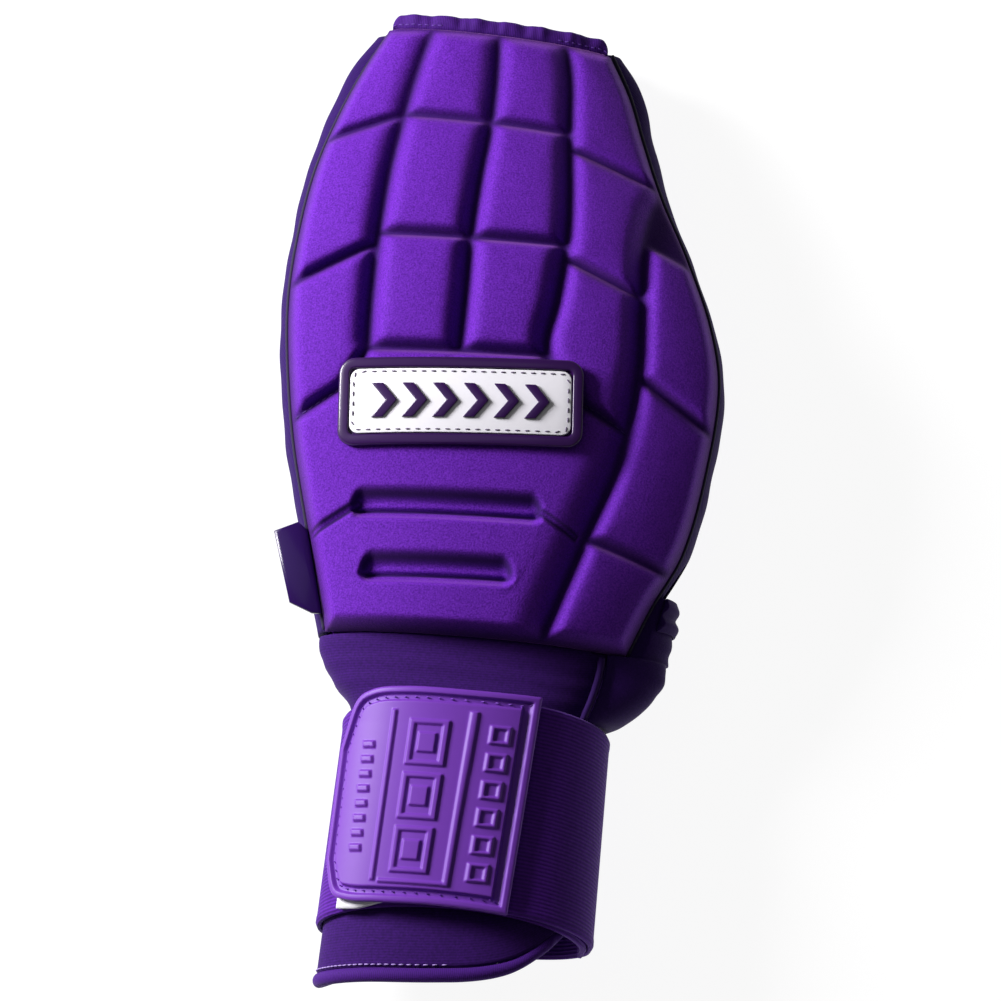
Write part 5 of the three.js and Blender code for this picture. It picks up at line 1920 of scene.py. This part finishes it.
def sew(name: str, places: Array, ways: Array, length: float, thickness: float) -> Piece:
    """Copies one small stitch to many places, as one piece.

    Args:
        name: The piece's name.
        places: The stitches' middles.
        ways: The directions that they lie in.
        length: Length of a stitch.
        thickness: Thickness of the thread.

    Returns:
        The stitches.
    """
    deselect()
    bpy.ops.mesh.primitive_uv_sphere_add(
        segments=THREAD_SIDES, ring_count=THREAD_RINGS, radius=0.5, location=(0, 0, 0),
    )
    model = bpy.context.object
    shape = np.array([v.co for v in model.data.vertices])
    faces = [list(face.vertices) for face in model.data.polygons]
    bpy.data.objects.remove(model)
    shape = np.sign(shape) * np.abs(shape) ** THREAD_POWER * np.array([thickness, thickness, length])
    ways = ways / np.linalg.norm(ways, axis=1, keepdims=True)
    aside = np.cross(ways, np.array([0.0, 0.0, 1.0]))
    aside /= np.linalg.norm(aside, axis=1, keepdims=True) + 1e-9
    up = np.cross(aside, ways)
    points = (
        places[:, None] + shape[None, :, :1] * aside[:, None]
        + shape[None, :, 1:2] * up[:, None] + shape[None, :, 2:] * ways[:, None]
    )
    count = len(shape)
    return lay(name, points, [[v + k * count for v in face] for k in range(len(places)) for face in faces])


# Badge and tag


CORNER_STEPS = 6
ROUNDING_STEPS = 3
SHARP_ANGLE = math.radians(40)


def shape_plate(name: str, length: float, height: float, corner: float, thickness: float) -> Piece:
    """Models a flat plate with round corners in edit mode, about the origin, in metres.

    Args:
        name: The piece's name.
        length: Its length along x.
        height: Its height along y.
        corner: Radius of its corners.
        thickness: Its thickness.

    Returns:
        The plate, its top face selected.
    """
    deselect()
    bpy.ops.mesh.primitive_plane_add(size=1, location=(0, 0, 0))
    plate = bpy.context.object
    plate.name = plate.data.name = name
    bpy.ops.object.mode_set(mode="EDIT")
    bpy.ops.transform.resize(value=(length * MM, height * MM, 1))
    bpy.ops.mesh.bevel(offset=corner * MM, segments=CORNER_STEPS, affect="VERTICES")
    bpy.ops.mesh.extrude_region_move(TRANSFORM_OT_translate={"value": (0, 0, thickness * MM)})
    return plate


def round_edges(piece: Piece, width: float) -> None:
    """Rounds a piece's sharp edges with an applied bevel.

    Args:
        piece: The piece.
        width: Width of the rounding.
    """
    if bpy.context.object.mode != "OBJECT":
        bpy.ops.object.mode_set(mode="OBJECT")
    bevel = piece.modifiers.new("rounding", "BEVEL")
    bevel.width, bevel.segments, bevel.limit_method = width * MM, ROUNDING_STEPS, "ANGLE"
    bevel.angle_limit = SHARP_ANGLE
    bpy.ops.object.modifier_apply(modifier=bevel.name)


@dataclass
class Badge:
    """The glossy framed badge on the heel block, with a row of plain arrow bars."""

    pad: BackPad
    x: float = -12.6
    y: float = 72.0
    length: float = 77.0
    height: float = 28.0
    turn: float = 3.5
    corner: float = 5.0
    foot: float = 0.3
    floor: float = 1.0
    rim: float = 3.4
    rim_rise: float = 1.5
    plate: float = 0.9
    count: int = 6
    pitch: float = 9.6
    band: float = 3.6
    bar_height: float = 11.0
    point: float = 4.5
    bar_rise: float = 0.8
    rim_round: float = 0.65
    plate_corner: float = 3.0
    plate_round: float = 0.3
    bar_round: float = 0.35
    stitch_inset: float = 1.0
    stitch_corner: float = 2.2
    stitch_pitch: float = 3.1
    stitch_size: tuple[float, float] = (1.5, 0.5)

    def laid(self, flat: Array, lift: Array | float) -> Array:
        """Lays flat points, about the badge's middle, on the blocks.

        Args:
            flat: The points.
            lift: Height over the blocks.

        Returns:
            The points in their place.
        """
        a = math.radians(self.turn)
        x = self.x + flat[:, 0] * math.cos(a) - flat[:, 1] * math.sin(a)
        y = self.y + flat[:, 0] * math.sin(a) + flat[:, 1] * math.cos(a)
        form = self.pad.form
        top = form.back_under(x, y) + form.base + self.pad.block_height(y)
        return np.stack([x, y, top + lift], axis=-1)

    def bend(self, piece: Piece, lift: float, cuts: int = 15) -> Piece:
        """Cuts a flat piece across and lays it on the curved pad.

        Args:
            piece: The flat piece, about the origin.
            lift: Height over the blocks.
            cuts: Cuts across its length.

        Returns:
            The piece in its place.
        """
        deselect()
        bpy.context.view_layer.objects.active = piece
        piece.select_set(True)
        bpy.ops.object.mode_set(mode="EDIT")
        reach = max(v.co.x for v in piece.data.vertices)
        for place in np.linspace(-reach, reach, cuts + 2)[1:-1]:
            bpy.ops.mesh.select_all(action="SELECT")
            bpy.ops.mesh.bisect(plane_co=(place, 0, 0), plane_no=(1, 0, 0))
        bpy.ops.object.mode_set(mode="OBJECT")
        flat = np.array([v.co for v in piece.data.vertices]) / MM
        placed = (self.laid(flat, lift + flat[:, 2]) + OFFSET) * MM
        piece.data.vertices.foreach_set("co", placed.ravel())
        turn_outwards(piece)
        piece.data.shade_smooth()
        deselect()
        return piece

    def frame(self) -> Piece:
        """Models the frame: a plate with a sunk floor inside its rim.

        Returns:
            The frame.
        """
        tray = shape_plate("badge_rim", self.length, self.height, self.corner, self.floor + self.rim_rise)
        bpy.ops.mesh.inset(thickness=self.rim * MM)
        bpy.ops.mesh.extrude_region_move(TRANSFORM_OT_translate={"value": (0, 0, -self.rim_rise * MM)})
        round_edges(tray, self.rim_round)
        return self.bend(tray, self.foot)

    def insert(self) -> Piece:
        """Models the plate inside the rim.

        Returns:
            The plate.
        """
        margin = 2 * (self.rim + self.foot)
        length, height = self.length - margin, self.height - margin
        plate = shape_plate("badge_insert", length, height, self.plate_corner, self.plate)
        round_edges(plate, self.plate_round)
        return self.bend(plate, 2 * self.foot + self.floor)

    def bars(self) -> Piece:
        """Models one arrow bar and copies it along the row.

        Returns:
            All bars as one piece.
        """
        bars = []
        for number in range(self.count):
            deselect()
            bpy.ops.mesh.primitive_plane_add(size=1, location=(0, 0, 0))
            bar = bpy.context.object
            bpy.ops.object.mode_set(mode="EDIT")
            bpy.ops.transform.resize(value=(self.band * MM, self.bar_height * MM, 1))
            bpy.ops.mesh.bisect(plane_co=(0, 0, 0), plane_no=(0, 1, 0))
            bpy.ops.object.mode_set(mode="OBJECT")
            for vertex in bar.data.vertices:
                middle = abs(vertex.co.y) < self.bar_height * MM / 4
                vertex.co.x += (0.5 if middle else -0.5) * self.point * MM
            bpy.ops.object.mode_set(mode="EDIT")
            bpy.ops.mesh.select_all(action="SELECT")
            rise = (self.plate + self.bar_rise) * MM
            bpy.ops.mesh.extrude_region_move(TRANSFORM_OT_translate={"value": (0, 0, rise)})
            bpy.ops.object.mode_set(mode="OBJECT")
            round_edges(bar, self.bar_round)
            shift = (number - (self.count - 1) / 2) * self.pitch * MM
            bar.data.transform(Matrix.Translation((shift, 0, 0)))
            bars.append(bar)
        deselect()
        for bar in bars:
            bar.select_set(True)
        bpy.context.view_layer.objects.active = bars[0]
        bpy.ops.object.join()
        row = bpy.context.object
        row.name = row.data.name = "badge_bars"
        return self.bend(row, 2 * self.foot + self.floor, cuts=0)

    def stitches(self) -> Piece:
        """Sews the plate down along its edge.

        Returns:
            The stitches.
        """
        length = self.length / 2 - self.rim - self.foot - self.stitch_inset
        height = self.height / 2 - self.rim - self.foot - self.stitch_inset
        corner = self.stitch_corner
        turn = np.radians(np.linspace(0, 90, 5))
        corners = ((1, 1, 0), (-1, 1, math.pi / 2), (-1, -1, math.pi), (1, -1, 1.5 * math.pi))
        outline = np.concatenate([
            np.stack([sx * (length - corner) + corner * np.cos(turn + first),
                      sy * (height - corner) + corner * np.sin(turn + first)], axis=-1)
            for sx, sy, first in corners
        ])
        line = self.laid(resampled(outline, self.stitch_pitch), 2 * self.foot + self.floor + self.plate)
        return sew("badge_edge_stitches", line, np.roll(line, -1, axis=0) - line, *self.stitch_size)

    def build(self) -> None:
        """Builds and dresses the badge."""
        finish_piece(self.frame(), BADGE_GLOSS, "badge_frame")
        finish_piece(self.insert(), BADGE_PLATE, "badge_plate")
        finish_piece(self.bars(), BADGE_GLOSS)
        finish_piece(self.stitches(), BADGE_THREAD)


@dataclass
class SideTag:
    """The folded glossy tag in the left seam."""

    form: PadForm
    length: float = 26.5
    reach: float = 10.5
    thickness: float = 2.2
    y: float = 5.0
    slant: float = 4.0
    slants: tuple[float, float, float] = (0.6, 0.3, 0.7)
    fold_share: float = 0.3
    gap: float = 0.3
    face_inset: float = 1.1
    face_rise: float = 0.6
    edge_round: float = 0.25

    def outline(self) -> Array:
        """Outline of the tag from above.

        Returns:
            Its corners.
        """
        low, high = self.y, self.y + self.length
        inner_low = float(self.form.edge(-1, low)) - self.gap
        inner_high = float(self.form.edge(-1, high)) - self.gap
        fold = self.reach * self.fold_share
        beyond, back, up = (self.slant * share for share in self.slants)
        return np.array([
            (inner_low, low), (inner_high, high), (inner_high - fold, high + beyond),
            (inner_high - self.reach, high - back), (inner_low - self.reach, low + up),
            (inner_low - fold, low),
        ])

    def build(self) -> None:
        """Models the tag from a six-sided face and dresses it."""
        outline = self.outline()
        foot = float(self.form.seam_height(self.y + self.length)) + self.gap
        deselect()
        bpy.ops.mesh.primitive_circle_add(vertices=6, radius=1, fill_type="NGON", location=(0, 0, 0))
        tag = bpy.context.object
        tag.name = tag.data.name = "seam_tag"
        for vertex, (x, y) in zip(tag.data.vertices, outline):
            vertex.co = Vector((np.array([x, y, foot]) + OFFSET) * MM)
        bpy.ops.object.mode_set(mode="EDIT")
        bpy.ops.mesh.select_all(action="SELECT")
        rise = (self.thickness - self.face_rise) * MM
        bpy.ops.mesh.extrude_region_move(TRANSFORM_OT_translate={"value": (0, 0, rise)})
        bpy.ops.mesh.inset(thickness=self.face_inset * MM)
        bpy.ops.transform.translate(value=(0, 0, self.face_rise * MM))
        round_edges(tag, self.edge_round)
        turn_outwards(tag)
        tag.data.shade_smooth()
        deselect()
        finish_piece(tag, TAG_GLOSS, "side_tag")


# Setting


@dataclass(frozen=True)
class SoftLight:
    """A square area light, in metres and watts, that faces the mitt."""

    name: str
    place: tuple[float, float, float]
    size: float
    power: float
    tint: tuple[float, float, float] = (1.0, 1.0, 1.0)

    def build(self) -> None:
        """Hangs the light."""
        data = bpy.data.lights.new(self.name, "AREA")
        data.shape, data.size, data.energy, data.color = "SQUARE", self.size, self.power, self.tint
        light = bpy.data.objects.new(self.name, data)
        bpy.context.scene.collection.objects.link(light)
        light.location = self.place
        light.rotation_euler = (-Vector(self.place)).to_track_quat("-Z", "Y").to_euler()


@dataclass
class Studio:
    """The pale floor, the soft lights and the camera."""

    elevation: float = 78.0
    distance: float = 1600.0
    field_width: float = 315.3
    roll: float = 5.0
    target: tuple[float, float, float] = (2.6, 43.83, 50.0)
    floor_size: float = 8.0
    floor_grey: float = 0.16
    floor_glow: float = 0.92
    world_glow: float = 0.075

    def build(self) -> None:
        """Builds the setting."""
        self.floor()
        self.lights()
        self.camera()

    def floor(self) -> None:
        """Lays a plain pale floor under the mitt."""
        bpy.ops.mesh.primitive_plane_add(size=self.floor_size, location=(0, 0, 0))
        floor = bpy.context.object
        floor.name = "studio_floor"
        paint = bpy.data.materials.new("pale_floor")
        paint.use_nodes = True
        shader = paint.node_tree.nodes["Principled BSDF"]
        shader.inputs["Base Color"].default_value = (*(self.floor_grey,) * 3, 1)
        shader.inputs["Roughness"].default_value = 0.9
        shader.inputs["Specular IOR Level"].default_value = 0.1
        shader.inputs["Emission Color"].default_value = (1, 1, 1, 1)
        shader.inputs["Emission Strength"].default_value = self.floor_glow
        floor.data.materials.append(paint)

    def lights(self) -> None:
        """Sets the soft key light at the upper left and a weak fill."""
        SoftLight("key_light", (-0.83, 0.28, 0.46), size=0.36, power=22.0, tint=(1.0, 0.98, 1.0)).build()
        SoftLight("top_light", (-0.5, 0.3, 1.8), size=1.2, power=1.6).build()
        world = bpy.context.scene.world or bpy.data.worlds.new("studio")
        bpy.context.scene.world = world
        world.use_nodes = True
        backdrop = world.node_tree.nodes["Background"]
        backdrop.inputs["Color"].default_value = (1, 1, 1, 1)
        backdrop.inputs["Strength"].default_value = self.world_glow
        bpy.context.scene.view_settings.view_transform = "Standard"

    def camera(self) -> None:
        """Sets the camera over the back of the hand, with the mitt's slight turn in the frame."""
        up_angle, roll = math.radians(self.elevation), math.radians(self.roll)
        back = Vector((0, -math.cos(up_angle), math.sin(up_angle)))
        right = Vector((1, 0, 0))
        up = back.cross(right)
        x = right * math.cos(roll) + up * math.sin(roll)
        y = up * math.cos(roll) - right * math.sin(roll)
        data = bpy.data.cameras.new("camera")
        data.sensor_width = 36
        data.lens = data.sensor_width * self.distance / self.field_width
        camera = bpy.data.objects.new("camera", data)
        bpy.context.scene.collection.objects.link(camera)
        place = Vector((np.array(self.target) + OFFSET) * MM) + back * self.distance * MM
        camera.matrix_world = Matrix.Translation(place) @ Matrix((x, y, back)).transposed().to_4x4()
        bpy.context.scene.camera = camera


def main() -> None:
    """Builds the mitt and its setting."""
    logging.basicConfig(level=logging.INFO, format="%(name)s: %(message)s")
    form = PadForm()
    cuff_form = CuffForm(form)
    pad = BackPad(form)
    strap = WristStrap(cuff_form)
    pad.puff = Inflation().run(pad)
    pad.build()
    PalmPad(form).build()
    SideWalls(form).build()
    TipHems(form).build()
    Badge(pad).build()
    SideTag(form).build()
    Cuff(cuff_form).build(strap.upper_edge)
    strap.build()
    StrapPatch(strap).build()
    HookPad(strap).build()
    ThumbGusset(cuff_form).build()
    Studio().build()


if __name__ == "__main__":
    main()
